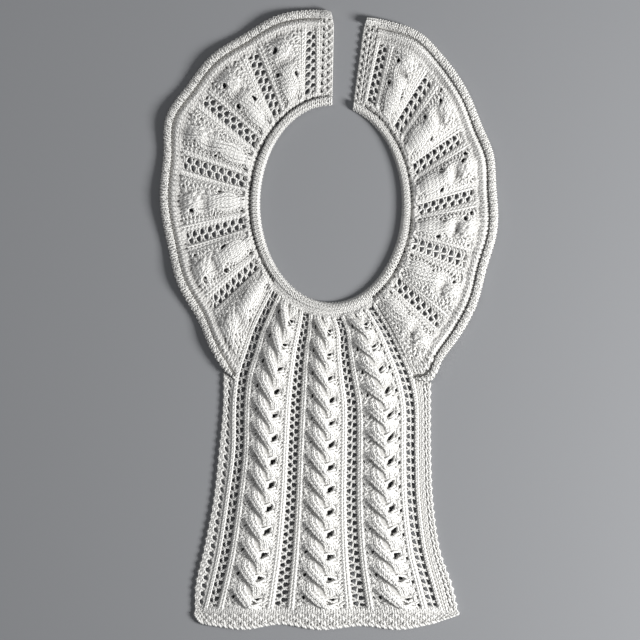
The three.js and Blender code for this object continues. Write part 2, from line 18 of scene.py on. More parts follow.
import bmesh
import bpy
import mathutils
import numpy as np
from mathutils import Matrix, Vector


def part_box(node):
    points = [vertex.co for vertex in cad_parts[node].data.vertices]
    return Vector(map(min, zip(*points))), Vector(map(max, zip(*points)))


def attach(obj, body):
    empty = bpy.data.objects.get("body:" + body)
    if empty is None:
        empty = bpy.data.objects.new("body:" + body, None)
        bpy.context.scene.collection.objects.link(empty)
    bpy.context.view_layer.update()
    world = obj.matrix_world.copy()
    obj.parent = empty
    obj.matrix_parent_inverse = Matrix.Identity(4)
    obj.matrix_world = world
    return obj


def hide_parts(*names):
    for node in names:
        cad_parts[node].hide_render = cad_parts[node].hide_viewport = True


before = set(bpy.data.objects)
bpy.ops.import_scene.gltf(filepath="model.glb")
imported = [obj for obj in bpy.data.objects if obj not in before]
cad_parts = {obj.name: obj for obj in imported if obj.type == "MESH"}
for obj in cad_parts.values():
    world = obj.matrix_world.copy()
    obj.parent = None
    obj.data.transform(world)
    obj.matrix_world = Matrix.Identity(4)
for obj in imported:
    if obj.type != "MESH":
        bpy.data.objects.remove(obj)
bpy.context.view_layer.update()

# %% [markdown]
# ## The sizes of the cloth
#
# Soft knitting could be sculpted by eye, but then its thousands of stitches wouldn't line up. So the
# collar was measured once, in the CAD model, as short tables of stations: where each line of
# knitting leaves the neck and where it ends. The same tables stand here, so that the yarn lands
# inside the solids that it replaces. A place in the cloth is a pair of numbers: `at`, counted in
# repeats of 12 stitches round the neck, and `row`, counted outwards from the neck band.

# %% Sizes
MM = 0.001

NECK = {"x": 1.5, "y": 86.6, "half_width": 52.9, "half_height": 73.5}
REPEAT_STITCHES = 12
WING_ROWS = 21
JABOT_ROWS = 80
SEAM_GAP = 0.3
BAND_WIDTH = 6.0
BAND_HEIGHT = 4.6
EDGING_WIDTH = 5.0
EDGING_HEIGHT = 4.4
EDGING_TIP_WIDTH = 0.8
RIB_OUTER_STITCH = 2.4
HEM_TOP_Y = -219.4
SIDE_RIB_WIDTH = 6.2

# Where the back borders end, where the wings have their lower corners and where the jabot has its
# sides, in repeats round the neck.
BACK_AT = {"left": -0.58, "right": 15.58}
CORNER_AT = {"left": 5.67, "right": 9.34}
SIDE_AT = {"left": 5.8, "right": 9.2}
WING_FIRST_AT = -RIB_OUTER_STITCH / REPEAT_STITCHES
WING_LAST_AT = 15 + RIB_OUTER_STITCH / REPEAT_STITCHES
print("repeats round the neck:", round(WING_LAST_AT - WING_FIRST_AT, 2))


# %% The wings' stations
def named(columns, rows):
    """A table as one array of numbers for each named column."""
    return {name: np.array([row[i] for row in rows], float) for i, name in enumerate(columns.split())}


# neck and outer are bearings from the neck's centre, reach is the distance to the outer edge, bow
# bends the line between them sideways, and puff is how far the panel stands off the surface.
WINGS = {
    "left": named("at neck outer reach bow puff", [
        (-0.58, 89.4, 89.1, 144.6, 0, 0),
        (0, 102.9, 95.6, 146.7, 0, 0),
        (0.5, 112.7, 106.0, 147.2, 0, 2.6),
        (1, 122.5, 117.2, 143.5, 0, 0),
        (1.5, 131.7, 128.7, 143.4, 0, 3.4),
        (2, 140.8, 140.3, 140.4, 0, 0),
        (2.5, 153.5, 152.0, 140.3, 0, 3.6),
        (3, 166.2, 164.0, 131.2, 0, 0),
        (3.5, 178.7, 179.0, 128.6, 0, 2.8),
        (4, 191.1, 194.0, 126.9, 0, 0),
        (4.5, 204.6, 207.0, 130.1, 0, 3.0),
        (5, 218.2, 220.5, 132.7, 0, 0),
        (5.5, 227.5, 231.0, 142.5, -1, 3.4),
        (5.67, 230.7, 237.0, 148.5, -2, 1.6),
        (5.8, 233.2, 241.1, 149.6, -4, 0.4),
    ]),
    "right": named("at neck outer reach bow puff", [
        (9.2, 292.3, 295.6, 145.1, 2.7, 0.4),
        (9.34, 294.9, 299.6, 152.6, 1.5, 1.6),
        (9.5, 297.9, 305.0, 145.0, 0.6, 3.4),
        (10, 307.1, 312.9, 139.8, 0, 0),
        (10.5, 320.0, 325.0, 133.5, 0, 2.8),
        (11, 333.2, 337.5, 126.8, 0, 0),
        (11.5, 342.0, 351.5, 126.5, 0, 3.0),
        (12, 350.6, 365.5, 125.0, 0, 0),
        (12.5, 365.0, 377.0, 127.9, 0, 3.4),
        (13, 379.0, 388.3, 128.3, 0, 0),
        (13.5, 392.5, 400.6, 133.7, 0, 3.4),
        (14, 405.7, 412.9, 139.9, 0, 0),
        (14.5, 416.0, 422.7, 145.1, 0, 3.0),
        (15, 426.4, 432.6, 144.4, 0, 0),
        (15.58, 437.0, 439.7, 142.5, 0, 0),
    ]),
}
print("stations of the wings:", {side: len(table["at"]) for side, table in WINGS.items()})

# %% The jabot's stations
# Where the jabot's eyelet columns leave the neck, and how far down row 21 lies on them.
JABOT_COLUMNS = named("at neck wing_row_y", [
    (6, 236.9, -41.6),
    (7, 256.3, -49.9),
    (8, 271.2, -53.6),
    (9, 288.6, -41.6),
])
# The jabot's two edges and its four eyelet columns, level by level.
JABOT_LEVELS = named("y left c1 c2 c3 c4 right", [
    (-7.9, -79.5, -53.3, -18.6, 10.9, 41.4, 77.5),
    (-22.9, -79.5, -58.1, -21.2, 12.0, 48.6, 77.5),
    (-41.6, -79.5, -64.3, -23.2, 14.0, 56.3, 77.5),
    (-64.1, -79.7, -66.6, -25.0, 17.1, 61.0, 76.5),
    (-97.9, -83.0, -67.3, -26.8, 17.3, 61.3, 76.6),
    (-135.4, -87.2, -71.9, -28.5, 16.9, 62.4, 78.2),
    (-172.9, -94.8, -77.6, -31.3, 18.4, 67.0, 83.6),
    (-199.1, -100.8, -83.4, -34.3, 21.0, 73.8, 92.8),
    (-219.4, -100.9, -88.6, -36.8, 23.6, 79.6, 97.4),
])
# How far the jabot's panels puff up, across them and down them.
JABOT_PUFF = named("at puff", [
    (5.8, 0.4), (6, 0), (6.5, 3.2), (7, 0), (7.5, 2.6), (8, 0), (8.5, 3.0), (9, 0), (9.2, 0.4),
])
JABOT_PUFF_ROWS = named("row share", [(0, 0), (8, 0.8), (18, 1), (60, 0.8), (80, 0.6)])
# The hem's scallops: how deep it hangs under the last row.
HEM_DEPTH = named("at depth", [
    (5.4, 1.6), (5.6, 6.6), (5.8, 9.0), (6, 9.8), (6.5, 13.0), (7, 8.8), (7.5, 13.2), (8, 10.0),
    (8.5, 13.0), (9, 7.8), (9.2, 5.6), (9.4, 3.6), (9.6, 1.2),
])
print("levels of the jabot:", len(JABOT_LEVELS["y"]))

# %% [markdown]
# ## Smooth curves through the tables
#
# Knitted cloth has no corners, so a smooth curve runs through the rows of each table. Blender has
# curve objects, but the yarn asks for the place of any stitch on any line, thousands at a time. The
# curve is linear in the table's values, so it is kept as weights: how much each row of the table
# counts at a place. The same weights then read any column.

# %% Smooth curves
def curve_weights(keys, places):
    """How much each row of a table counts at each place, on a smooth curve through its rows."""
    keys = np.asarray(keys, float)
    places = np.asarray(places, float)
    count = len(keys)
    rising = 1 if keys[-1] > keys[0] else -1
    i = np.clip(np.searchsorted(rising * keys, rising * places, side="right") - 1, 0, count - 2)
    rows = np.eye(count)
    before = np.maximum(np.arange(count) - 1, 0)
    after = np.minimum(np.arange(count) + 1, count - 1)
    slopes = (rows[after] - rows[before]) / (keys[after] - keys[before])[:, None]
    span = keys[i + 1] - keys[i]
    t = (places - keys[i]) / span
    t2 = t * t
    t3 = t2 * t
    start, end = 2 * t3 - 3 * t2 + 1, 3 * t2 - 2 * t3
    leaving, arriving = (t3 - 2 * t2 + t) * span, (t3 - t2) * span
    return (start[:, None] * rows[i] + leaving[:, None] * slopes[i]
            + end[:, None] * rows[i + 1] + arriving[:, None] * slopes[i + 1])


def smooth(table, key, column, places):
    """Reads a column of a table at places between its rows."""
    return curve_weights(table[key], places) @ table[column]


def bearing(degrees, reach):
    """Points at a bearing and a distance from the middle of the neck."""
    angle = np.radians(degrees)
    return np.stack([NECK["x"] + reach * np.cos(angle), NECK["y"] + reach * np.sin(angle)], -1)


def neck_edge(degrees):
    """Points on the ellipse of the neck opening."""
    angle = np.radians(degrees)
    reach = 1 / np.hypot(np.cos(angle) / NECK["half_width"], np.sin(angle) / NECK["half_height"])
    return bearing(degrees, reach)


print("neck opening in mm:", neck_edge(np.array([0, 90, 180, 270])).round(1).tolist())

# %% [markdown]
# ## Lines across the wings
#
# A wing is knitted outwards from the neck band. Each wale, which is a column of stitches, follows a
# nearly straight line from the neck edge to the outer edge, and the lines spread like a fan. A flat
# grid and a bend modifier would spread them evenly. Here each line has its own two ends, because in
# hand knitting no two panels are equally wide.

# %% Places on the wings
def wing_lines(side, at):
    """The lines across a wing at places round the neck: start, run, length, sideways and bow."""
    table = WINGS[side]
    weights = curve_weights(table["at"], at)
    start = neck_edge(weights @ table["neck"])
    end = bearing(weights @ table["outer"], weights @ table["reach"])
    run = end - start
    length = np.hypot(run[:, 0], run[:, 1])
    sideways = np.stack([-run[:, 1], run[:, 0]], -1) / length[:, None]
    return start, run, length, sideways, weights @ table["bow"]


def wing_line_point(side, at, along):
    """Points on those lines, a distance along each from the neck edge."""
    start, run, length, sideways, bow = wing_lines(side, at)
    share = along / length
    return start + run * share[:, None] + sideways * (4 * bow * share * (1 - share))[:, None]


def edging_width(side, at):
    """The edging keeps its width as far as the wing's lower corner, then tapers to a tip."""
    past = np.clip((at - CORNER_AT[side]) / (SIDE_AT[side] - CORNER_AT[side]), 0, 1)
    return EDGING_WIDTH + (EDGING_TIP_WIDTH - EDGING_WIDTH) * past


def wing_point(side, at, row):
    """Points of a wing's cloth."""
    length = wing_lines(side, at)[2]
    first = BAND_WIDTH + SEAM_GAP
    last = length - edging_width(side, at) - SEAM_GAP
    return wing_line_point(side, at, first + (last - first) * row / WING_ROWS)


for side, last_at in (("left", SIDE_AT["left"]), ("right", WING_LAST_AT)):
    corner = wing_point(side, np.array([last_at]), np.array([float(WING_ROWS)]))[0]
    print(f"wing {side}: last corner at {corner.round(1).tolist()} mm")

# %% [markdown]
# ## Puffs, rolls and the curled edge
#
# The wings don't lie flat. Their panels puff up between the eyelet columns, some rows stand up as
# rolls along the neck and inside the outer edging, and the edge curls. A cloth simulation would puff
# a panel too, but not in the places where this collar does, so each puff and roll is a bell curve
# over stitches and rows.

# %% Puffs and rolls
EDGE_LIFT = 1.4
CLOTH_LIFT = 1.3
PUFF_LEAN = 0.9
ROLLS_FADE = 0.3

# Rows that stand up as smooth rolls round the neck and inside the outer edging, and the sunk rows
# between them.
NECK_ROLLS = named("row height width", [
    (0.0, 1.5, 0.9),
    (0.6, -0.5, 0.2),
    (1.7, 1.0, 0.6),
    (2.6, -0.3, 0.2),
])
EDGE_ROLLS = named("row height width", [
    (18.1, -0.6, 0.35),
    (19.3, 1.0, 0.6),
    (20.2, -0.4, 0.2),
])
# The puffs and the hollows between two eyelet columns of a wing.
WING_PUFFS = {
    "left": named("stitch row height stitches rows", [
        (5.8, 5.8, 0.9, 3.0, 2.4),
        (6.8, 11.6, -1.4, 2.2, 1.2),
        (6.1, 14.6, 1.0, 1.7, 1.5),
        (6.8, 17.5, -1.0, 2.2, 0.8),
    ]),
    "right": named("stitch row height stitches rows", [
        (5.8, 5.2, 0.7, 3.0, 2.2),
        (6.7, 10.3, 0.8, 1.9, 1.2),
        (5.8, 12.8, -2.2, 1.7, 0.9),
        (6.0, 16.0, 1.0, 1.9, 1.6),
        (6.0, 18.1, -0.8, 3.2, 0.5),
    ]),
}


def rolls(table, row):
    """How high the cloth stands where some of its rows form rolls."""
    apart = (np.asarray(row)[:, None] - table["row"]) / table["width"]
    return np.exp(-apart ** 2) @ table["height"]


def sunk(table, row):
    """How far the sunk rows of such a table lie down."""
    low = {column: values[table["height"] < 0] for column, values in table.items()}
    return rolls(low, row)


# Hand knitting differs a little from panel to panel: by how many stitches and rows things lie
# elsewhere, and by what share they are larger.
PANEL_CHANGES = np.random.default_rng(7).uniform(-1, 1, (18, 3)) * [0.35, 0.6, 0.3]


def wing_puffs(side, at, row):
    """How far a wing's cloth puffs up or sinks between its eyelet columns."""
    puffs = WING_PUFFS[side]
    stitch = (at * REPEAT_STITCHES) % REPEAT_STITCHES
    stitches, rows, larger = PANEL_CHANGES[np.floor(at).astype(int) + 1].T[:, :, None]
    over = (stitch[:, None] - stitches - puffs["stitch"]) / puffs["stitches"]
    down = (np.asarray(row)[:, None] - rows - puffs["row"]) / puffs["rows"]
    return (np.exp(-over ** 2 - down ** 2) * (1 + larger)) @ puffs["height"]


def edging_lift(at):
    """How far the outer edging stands off the surface: it follows the curl of the wings' edge."""
    return EDGE_LIFT * np.sin(np.pi * at) ** 2


def wing_lift(side, at, row):
    """How far a wing's underside stands off the surface: its panels puff and its edge curls."""
    share = np.clip(row / WING_ROWS, 0, 1)
    puff = np.maximum(smooth(WINGS[side], "at", "puff", at), 0)
    panel = (puff + CLOTH_LIFT) * np.sin(np.pi * share ** PUFF_LEAN) + edging_lift(at) * share ** 2
    from_jabot = np.clip(np.abs(at - SIDE_AT[side]) / ROLLS_FADE, 0, 1)
    rolled = rolls(NECK_ROLLS, row) + rolls(EDGE_ROLLS, row) * from_jabot
    return panel + wing_puffs(side, at, row) + rolled


highest = {side: wing_lift(side, np.linspace(*ends, 99), np.full(99, 6.0)).max().round(1)
           for side, ends in (("left", (0, SIDE_AT["left"])), ("right", (SIDE_AT["right"], 15)))}
print("highest puff on row 6 of the wings in mm:", highest)

# %% [markdown]
# ## Lines down the jabot
#
# The jabot's wales start round the front of the neck and turn to run down to the hem. Each of its
# four eyelet columns and its two sides is one long path, measured by its length, and row 21 is where
# the wings end. Between the paths the cloth is a smooth curve again. A single curve bent for all of
# them would be shorter, but the real columns spread unevenly.

# %% Paths down the jabot
TOP_BLEND_ROWS = 24
PATH_STEP = 1.5
RUN_ON = 30.0
LIFT_FADE = 0.25


def measured(points):
    """A line of points with its lengths. Past both ends it runs on straight."""
    points = np.asarray(points, float)
    steps = np.hypot(*np.diff(points, axis=0).T)
    lengths = np.concatenate([[0], np.cumsum(steps)])
    before = points[0] + (points[0] - points[1]) / steps[0] * RUN_ON
    after = points[-1] + (points[-1] - points[-2]) / steps[-1] * RUN_ON
    return {
        "points": np.concatenate([[before], points, [after]]),
        "lengths": np.concatenate([[-RUN_ON], lengths, [lengths[-1] + RUN_ON]]),
        "total": lengths[-1],
    }


def on_path(path, along):
    """Points on a measured line."""
    return np.stack([np.interp(along, path["lengths"], path["points"][:, c]) for c in (0, 1)], -1)


def path_down(from_y, table, column):
    """Points down the jabot from a height to the hem, with x read from a table of levels."""
    steps = math.ceil((from_y - HEM_TOP_Y) / PATH_STEP)
    y = np.linspace(from_y, HEM_TOP_Y, steps + 1)
    return np.stack([smooth(table, "y", column, y), y], -1)


def levels_below(top, column, shift, at_least):
    """The jabot's levels under a point, with that point as their first row."""
    keep = JABOT_LEVELS["y"] < top[1] - at_least
    return {
        "y": np.concatenate([[top[1]], JABOT_LEVELS["y"][keep]]),
        "x": np.concatenate([[top[0]], JABOT_LEVELS[column][keep] + shift]),
    }


def eyelet_path(index):
    """The path of one of the jabot's eyelet columns and its length as far as row 21."""
    top = neck_edge(JABOT_COLUMNS["neck"][index:index + 1])[0]
    line = path_down(top[1], levels_below(top, f"c{index + 1}", 0, 0), "x")
    path = measured(line)
    wing_row = np.interp(-JABOT_COLUMNS["wing_row_y"][index], -path["points"][:, 1], path["lengths"])
    return path, wing_row


def side_path(side):
    """The path down the jabot's side: beside the wing, then beside the outer eyelet column."""
    at = SIDE_AT[side]
    length = wing_lines(side, np.array([at]))[2][0]
    along = np.append(np.arange(0, length, PATH_STEP), length)
    beside_wing = wing_line_point(side, np.full(len(along), at), along)
    column, shift = ("c1", -SIDE_RIB_WIDTH) if side == "left" else ("c4", SIDE_RIB_WIDTH)
    below = levels_below(beside_wing[-1], column, shift, PATH_STEP)
    rest = path_down(beside_wing[-1][1], below, "x")
    return measured(np.concatenate([beside_wing, rest[1:]])), length


STATION_PATHS = [side_path("left"), *(eyelet_path(i) for i in range(4)), side_path("right")]
STATION_AT = [SIDE_AT["left"], *JABOT_COLUMNS["at"], SIDE_AT["right"]]
print("lengths of the jabot's paths in mm:", [round(path["total"]) for path, wing_row in STATION_PATHS])

# %% Places on the jabot
NECK_BEARINGS = named("at neck", [
    (SIDE_AT["left"], 233.2),
    *zip(JABOT_COLUMNS["at"], JABOT_COLUMNS["neck"]),
    (SIDE_AT["right"], 292.3),
])
STATIONS = range(len(STATION_AT))


def station_point(index, row):
    """Points at rows of one of the jabot's six paths."""
    path, wing_row = STATION_PATHS[index]
    first = BAND_WIDTH + SEAM_GAP
    upper = first + (wing_row - first) * row / WING_ROWS
    share = (row - WING_ROWS) / (JABOT_ROWS - WING_ROWS)
    lower = wing_row + (path["total"] - wing_row) * share
    return on_path(path, np.where(row < WING_ROWS, upper, lower))


def front_band_point(at, along):
    """Points at the front of the neck, a distance out from the neck edge."""
    ways = []
    for side in ("left", "right"):
        place = np.full(2, SIDE_AT[side])
        ends = wing_line_point(side, place, np.array([0, BAND_WIDTH]))
        way = ends[1] - ends[0]
        ways.append(math.atan2(way[1], way[0]) % (2 * math.pi))
    share = (at - SIDE_AT["left"]) / (SIDE_AT["right"] - SIDE_AT["left"])
    turn = ways[0] + (ways[1] - ways[0]) * share
    edge = neck_edge(smooth(NECK_BEARINGS, "at", "neck", at))
    return edge + np.stack([np.cos(turn), np.sin(turn)], -1) * along[:, None]


def jabot_point(at, row):
    """Points of the jabot's cloth. Its first row follows the neck band."""
    weights = curve_weights(STATION_AT, at)
    here = np.stack([station_point(k, row) for k in STATIONS], 1)
    tops = np.concatenate([station_point(k, np.zeros(1)) for k in STATIONS])
    point = np.einsum("nk,nkc->nc", weights, here)
    share = np.clip(1 - row / TOP_BLEND_ROWS, 0, None) ** 2
    first_row = front_band_point(at, np.full(len(at), BAND_WIDTH + SEAM_GAP))
    return point + (first_row - weights @ tops) * share[:, None]


def jabot_lift(at, row):
    """How far the jabot's panels puff up off the surface."""
    puff = np.maximum(smooth(JABOT_PUFF, "at", "puff", at), 0)
    share = np.maximum(smooth(JABOT_PUFF_ROWS, "row", "share", np.clip(row, 0, JABOT_ROWS)), 0)
    from_edge = np.clip(np.minimum(at - SIDE_AT["left"], SIDE_AT["right"] - at) / LIFT_FADE, 0, 1)
    return (puff + CLOTH_LIFT * from_edge) * share + rolls(NECK_ROLLS, row)


corners = jabot_point(np.array([*SIDE_AT.values()] * 2), np.repeat([0.0, JABOT_ROWS], 2))
print("jabot's corners in mm:", corners.round(1).tolist())

# %% [markdown]
# ## Places in the borders, the hem and the band
#
# A border runs down each side of the jabot and along each side of the back opening, a hem closes the
# jabot's end in scallops, and the neck band goes round the neck. They meet the panels along a seam,
# so their places are worked out from the same lines and fit without any trimming. Each has its own
# pair of numbers: `out`, `share` or `along` across it, and `row` or `at` along it.

# %% Places in the borders, the hem and the band
def jabot_edge_path(side):
    """The jabot's outer edge, from the wing's lower corner to the hem."""
    place = np.array([CORNER_AT[side]])
    length = wing_lines(side, place)[2]
    top = wing_line_point(side, place, length)[0]
    return measured(path_down(top[1], levels_below(top, side, 0, PATH_STEP), "x"))


EDGE_PATHS = {side: jabot_edge_path(side) for side in ("left", "right")}


def jabot_border_point(side, out, row):
    """Points of a jabot border: out is 0 beside the panel and 1 on the outer edge."""
    inner = station_point(0 if side == "left" else 5, row)
    path = EDGE_PATHS[side]
    share = (row - WING_ROWS) / (JABOT_ROWS - WING_ROWS)
    outer = on_path(path, share * path["total"])
    return inner + (outer - inner) * out[:, None]


def hem_point(at, share):
    """Points of the hem: share is 0 under the last row and 1 on the scalloped edge."""
    rows = np.full(len(at), float(JABOT_ROWS))
    first, last = HEM_DEPTH["at"][0], HEM_DEPTH["at"][-1]
    left = (SIDE_AT["left"] - at) / (SIDE_AT["left"] - first)
    right = (at - SIDE_AT["right"]) / (last - SIDE_AT["right"])
    point = jabot_point(np.clip(at, SIDE_AT["left"], SIDE_AT["right"]), rows)
    point = np.where(left[:, None] > 0, jabot_border_point("left", left, rows), point)
    point = np.where(right[:, None] > 0, jabot_border_point("right", right, rows), point)
    depth = smooth(HEM_DEPTH, "at", "depth", np.clip(at, first, last))
    point[:, 1] -= SEAM_GAP + (depth - SEAM_GAP) * share
    return point


def band_point(at, along):
    """Points of the neck band, a distance out from the neck edge."""
    left = wing_line_point("left", np.minimum(at, SIDE_AT["left"]), along)
    right = wing_line_point("right", np.maximum(at, SIDE_AT["right"]), along)
    front = front_band_point(np.clip(at, SIDE_AT["left"], SIDE_AT["right"]), along)
    point = np.where((at <= SIDE_AT["left"])[:, None], left, front)
    return np.where((at >= SIDE_AT["right"])[:, None], right, point)


lowest = hem_point(np.linspace(HEM_DEPTH["at"][0], HEM_DEPTH["at"][-1], 200), np.ones(200))[:, 1].min()
print("hem's lowest point in mm:", lowest.round(1))

# %% [markdown]
# ## One loop of yarn
#
# Knitting is a single yarn bent into loops, and every loop hangs through the one of the row before.
# A loop starts low, runs up a leg, over a wide head and down the other leg. On a knit stitch the
# legs lie in front and make a V; on a purl stitch the head and the foot lie in front and make a
# bump. A bump map of Vs would look alike from afar, but the eyelets and cables need yarn that has
# depth. Sine curves of the stitch and row give a loop that shape, and the loops of a row follow one
# another along the same yarn.

# %% The loop
# The points of a loop, as parts of the way through it.
LOOP_STEPS = np.array([0, 0.09, 0.2, 0.36, 0.5, 0.64, 0.8, 0.91])
LOOP_LEAN = 0.25
LOOP_REACH = 0.95
LOOP_DEPTH = 0.65
YARN_RADIUS = 0.66
KNIT, PURL = 1, -1


def loop_points(width, face):
    """One loop: its stitches and its rows to each side of its middle, and its depth."""
    t = LOOP_STEPS
    across = width * (t - 0.5 + LOOP_LEAN * np.sin(4 * np.pi * t))
    along = -LOOP_REACH * np.cos(2 * np.pi * t)
    out = -face * LOOP_DEPTH * np.cos(4 * np.pi * t)
    return across, along, out


print("points on a loop:", len(LOOP_STEPS), "depth of the knitting in mm:", 2 * (LOOP_DEPTH + YARN_RADIUS))

# %% [markdown]
# ## The rope cable
#
# Six stitches make a cable: two strands of three wales that cross about every sixth row, always the
# same way, so they twist round each other like a rope. Plain sine and cosine would make both strands
# cross alike, and the cable would look like a herringbone. On the real one the strand in front lies
# long and slanting, and the one behind dives under it within a row or two. So a strand crosses
# slowly in front and fast behind. Each wale keeps its offset from its strand's middle, and the middle
# wale stands a little proud.

# %% Cable strands
CABLE_MIDDLE = 6.0
CABLE_WALES = 6
STRAND_WALES = 3
CABLE_POINTED = 0.95
CABLE_DIVE = 2.5
CABLE_DIP = 4
CABLE_RISE = 2.4
CABLE_STEEP = 1.5
CABLE_CROWN = 0.6
CROWN_FADE = 0.4
CABLE_SPREAD = 1.2
CABLE_PRESSED = 0.6
STRAND_HALF = 1.4
LOWEST_LOOP = -0.6

# How the cloth of the wings and of the jabot differs: how far a cable's strands swing, how wide a
# wale is, how strongly the strands stand out and how high they, the ribs and the gutters lie, how
# thick the yarn is, how thick the bars between the eyelets are against it, how far the middle of
# those bars lies to the right, and how high the ground lies. On the wings the cloth is stretched, so
# it is flatter.
CLOTHS = {
    "wing": {
        "swing": 0.9, "wale": 0.78, "relief": 0.1, "lift": 0.45, "rib": 0.25, "gutter": 0.35,
        "yarn": 1.0, "bar": 1.2, "middle": 0.0, "ground": 0.6,
    },
    "jabot": {
        "swing": 1.85, "wale": 0.66, "relief": 1.0, "lift": 0.7, "rib": 0.45, "gutter": 0.35,
        "yarn": 1.0, "bar": 1.05, "middle": -0.1, "ground": 0.9,
    },
}
# The rows of each zone: how many, where its cables cross, and where its pattern begins and ends.
ZONES = {
    "wing_left": {"rows": WING_ROWS, "first_crossing": 3.1, "crossing_step": 5.95, "pattern": (2, 18)},
    "wing_right": {"rows": WING_ROWS, "first_crossing": 3.1, "crossing_step": 5.95, "pattern": (2, 17)},
    "jabot": {"rows": JABOT_ROWS, "first_crossing": 5.8, "crossing_step": 5.92, "pattern": (2, 79)},
}
for name, zone in ZONES.items():
    zone.update(CLOTHS[name.split("_")[0]])
PATTERN_FADE_ROWS = 2.5


def pattern_share(zone, row):
    """How much of the pattern's relief a row has: it fades out towards the plain rows."""
    first, last = zone["pattern"]
    after_first = np.clip((row - first + 1) / PATTERN_FADE_ROWS, 0, 1)
    before_last = np.clip((last + 1 - row) / PATTERN_FADE_ROWS, 0, 1)
    return after_first * before_last


def cable_phase(zone, row):
    """The turn of a cable's first strand: a quarter turn where it crosses in front."""
    return np.pi * (row - zone["first_crossing"]) / zone["crossing_step"] + np.pi / 2


def strand_side(phase):
    """How far a strand is to the left, from 1 to -1: it crosses slowly in front and fast behind."""
    side = np.cos(phase)
    slow = np.arcsin(CABLE_POINTED * side) / math.asin(CABLE_POINTED)
    fast = np.sin(np.pi / 2 * np.clip(CABLE_DIVE * side, -1, 1))
    return np.where(np.sin(phase) > 0, slow, fast)


def strand_front(phase):
    """How far a strand is in front, 1, or behind, -1, where it lies only while it crosses."""
    front = np.sin(phase)
    raised = np.tanh(CABLE_STEEP * front) / math.tanh(CABLE_STEEP)
    return np.where(front > 0, raised, -front ** CABLE_DIP)


def cable_place(zone, strand, offset, row):
    """A wale of a cable's strand at a row: its stitch place, its height and how far it spreads."""
    phase = cable_phase(zone, row) + np.pi * strand
    front = strand_front(phase)
    spread = CABLE_SPREAD + CABLE_PRESSED * np.minimum(front, 0)
    place = CABLE_MIDDLE - zone["swing"] * strand_side(phase) + zone["wale"] * spread * offset
    crown = CABLE_CROWN * (0.5 - offset ** 2) * (1 + CROWN_FADE * (front - 1))
    height = (zone["relief"] * (CABLE_RISE * front + crown) + zone["lift"]) * pattern_share(zone, row)
    return place, np.maximum(height, LOWEST_LOOP), spread


def cable_edge(zone, side, row):
    """The stitch place of a cable's left edge, side -1, or its right edge, side 1."""
    first, second = (cable_place(zone, strand, STRAND_HALF * side, row)[0] for strand in (0, 1))
    return np.minimum(first, second) if side < 0 else np.maximum(first, second)


print("cable wales at row 8:",
      [cable_place(ZONES["jabot"], s, o, 8)[0].round(2) for s in (0, 1) for o in (-1, 0, 1)])

# %% [markdown]
# ## The chart
#
# A knitter works this pattern from a chart of one repeat, and so does this script: a list of
# stitches is easier to change than a model of a panel. The eyelets take two stitches, the smooth rib
# and the gutter one each on both sides, and the cable six. The places and widths are in stitches: a
# rib lies wide and stands up, and a cable pulls its wales together. A gutter lies low and reaches
# from the rib to the cable, so it is pulled wide where the cable crosses. A rib's loops are two
# knitted together, which makes up for the eyelets, so they are thicker.

# %% The chart of one repeat
RIB_YARN = 1.6
PLAIN_WIDTH = 0.75
PLAIN_YARN = 1.15
LAST_YARN = 1.65
CABLE_YARN = 1.2
GUTTER_YARN = 1.2
RIB = {"kind": "loop", "face": KNIT, "height": "rib", "thickness": RIB_YARN}
GUTTER = {"kind": "gutter", "face": PURL, "height": "gutter", "thickness": GUTTER_YARN}
CABLE = {"kind": "cable", "face": KNIT, "thickness": CABLE_YARN}
PLAIN = {"kind": "loop", "face": KNIT, "width": PLAIN_WIDTH}
CHART = [
    {"kind": "eyelet", "place": 0.0},
    {**RIB, "place": 1.64, "width": 1.1},
    {**GUTTER, "place": 2.6, "from": 2.2, "side": -1, "part": 0, "parts": 2},
    {**GUTTER, "place": 3.0, "from": 2.2, "side": -1, "part": 1, "parts": 2},
    *({**CABLE, "wale": wale, "place": 3.8 + 0.84 * wale} for wale in range(CABLE_WALES)),
    {**GUTTER, "place": 9.1, "from": 9.6, "side": 1, "part": 0, "parts": 1},
    {**RIB, "place": 10.25, "width": 1.2},
]
PLAIN_CHART, LAST_CHART = (
    [
        {**PLAIN, "place": PLAIN_WIDTH * (k + 0.5), "thickness": thickness}
        for k in range(round(REPEAT_STITCHES / PLAIN_WIDTH))
    ]
    for thickness in (PLAIN_YARN, LAST_YARN)
)


def chart_between(chart, first_at, last_at):
    """A chart's stitches between two places round the neck, in the order of knitting."""
    stitches = []
    for repeat in range(math.floor(first_at) - 1, math.ceil(last_at) + 1):
        for stitch in chart:
            at = repeat + stitch["place"] / REPEAT_STITCHES
            if first_at < at < last_at:
                stitches.append({**stitch, "start": repeat * REPEAT_STITCHES})
    return stitches


def plain_stitches(first, last, count):
    """A plain strip of stitches between two places, counted in stitches."""
    width = (last - first) / count
    return [
        {"kind": "loop", "place": first + width * (k + 0.5), "width": width, "face": KNIT,
         "start": 0, "wale": k}
        for k in range(count)
    ]


print("stitches across a wing:", len(chart_between(CHART, WING_FIRST_AT, SIDE_AT["left"])))

# %% [markdown]
# ## Eyelet columns
#
# At the eyelets the yarn makes no loops: the yarns of two rows run over the hole together as a bar.
# Holes cut with a boolean would end in bare edges, while these are what the yarn leaves open. The
# yarns pair off differently on the two sides of the column's middle, so a thin slanting strand joins
# the bars of both lines. How far the holes of the right line are stepped against the left ones is
# different in every column, because the cloth is pulled differently there.

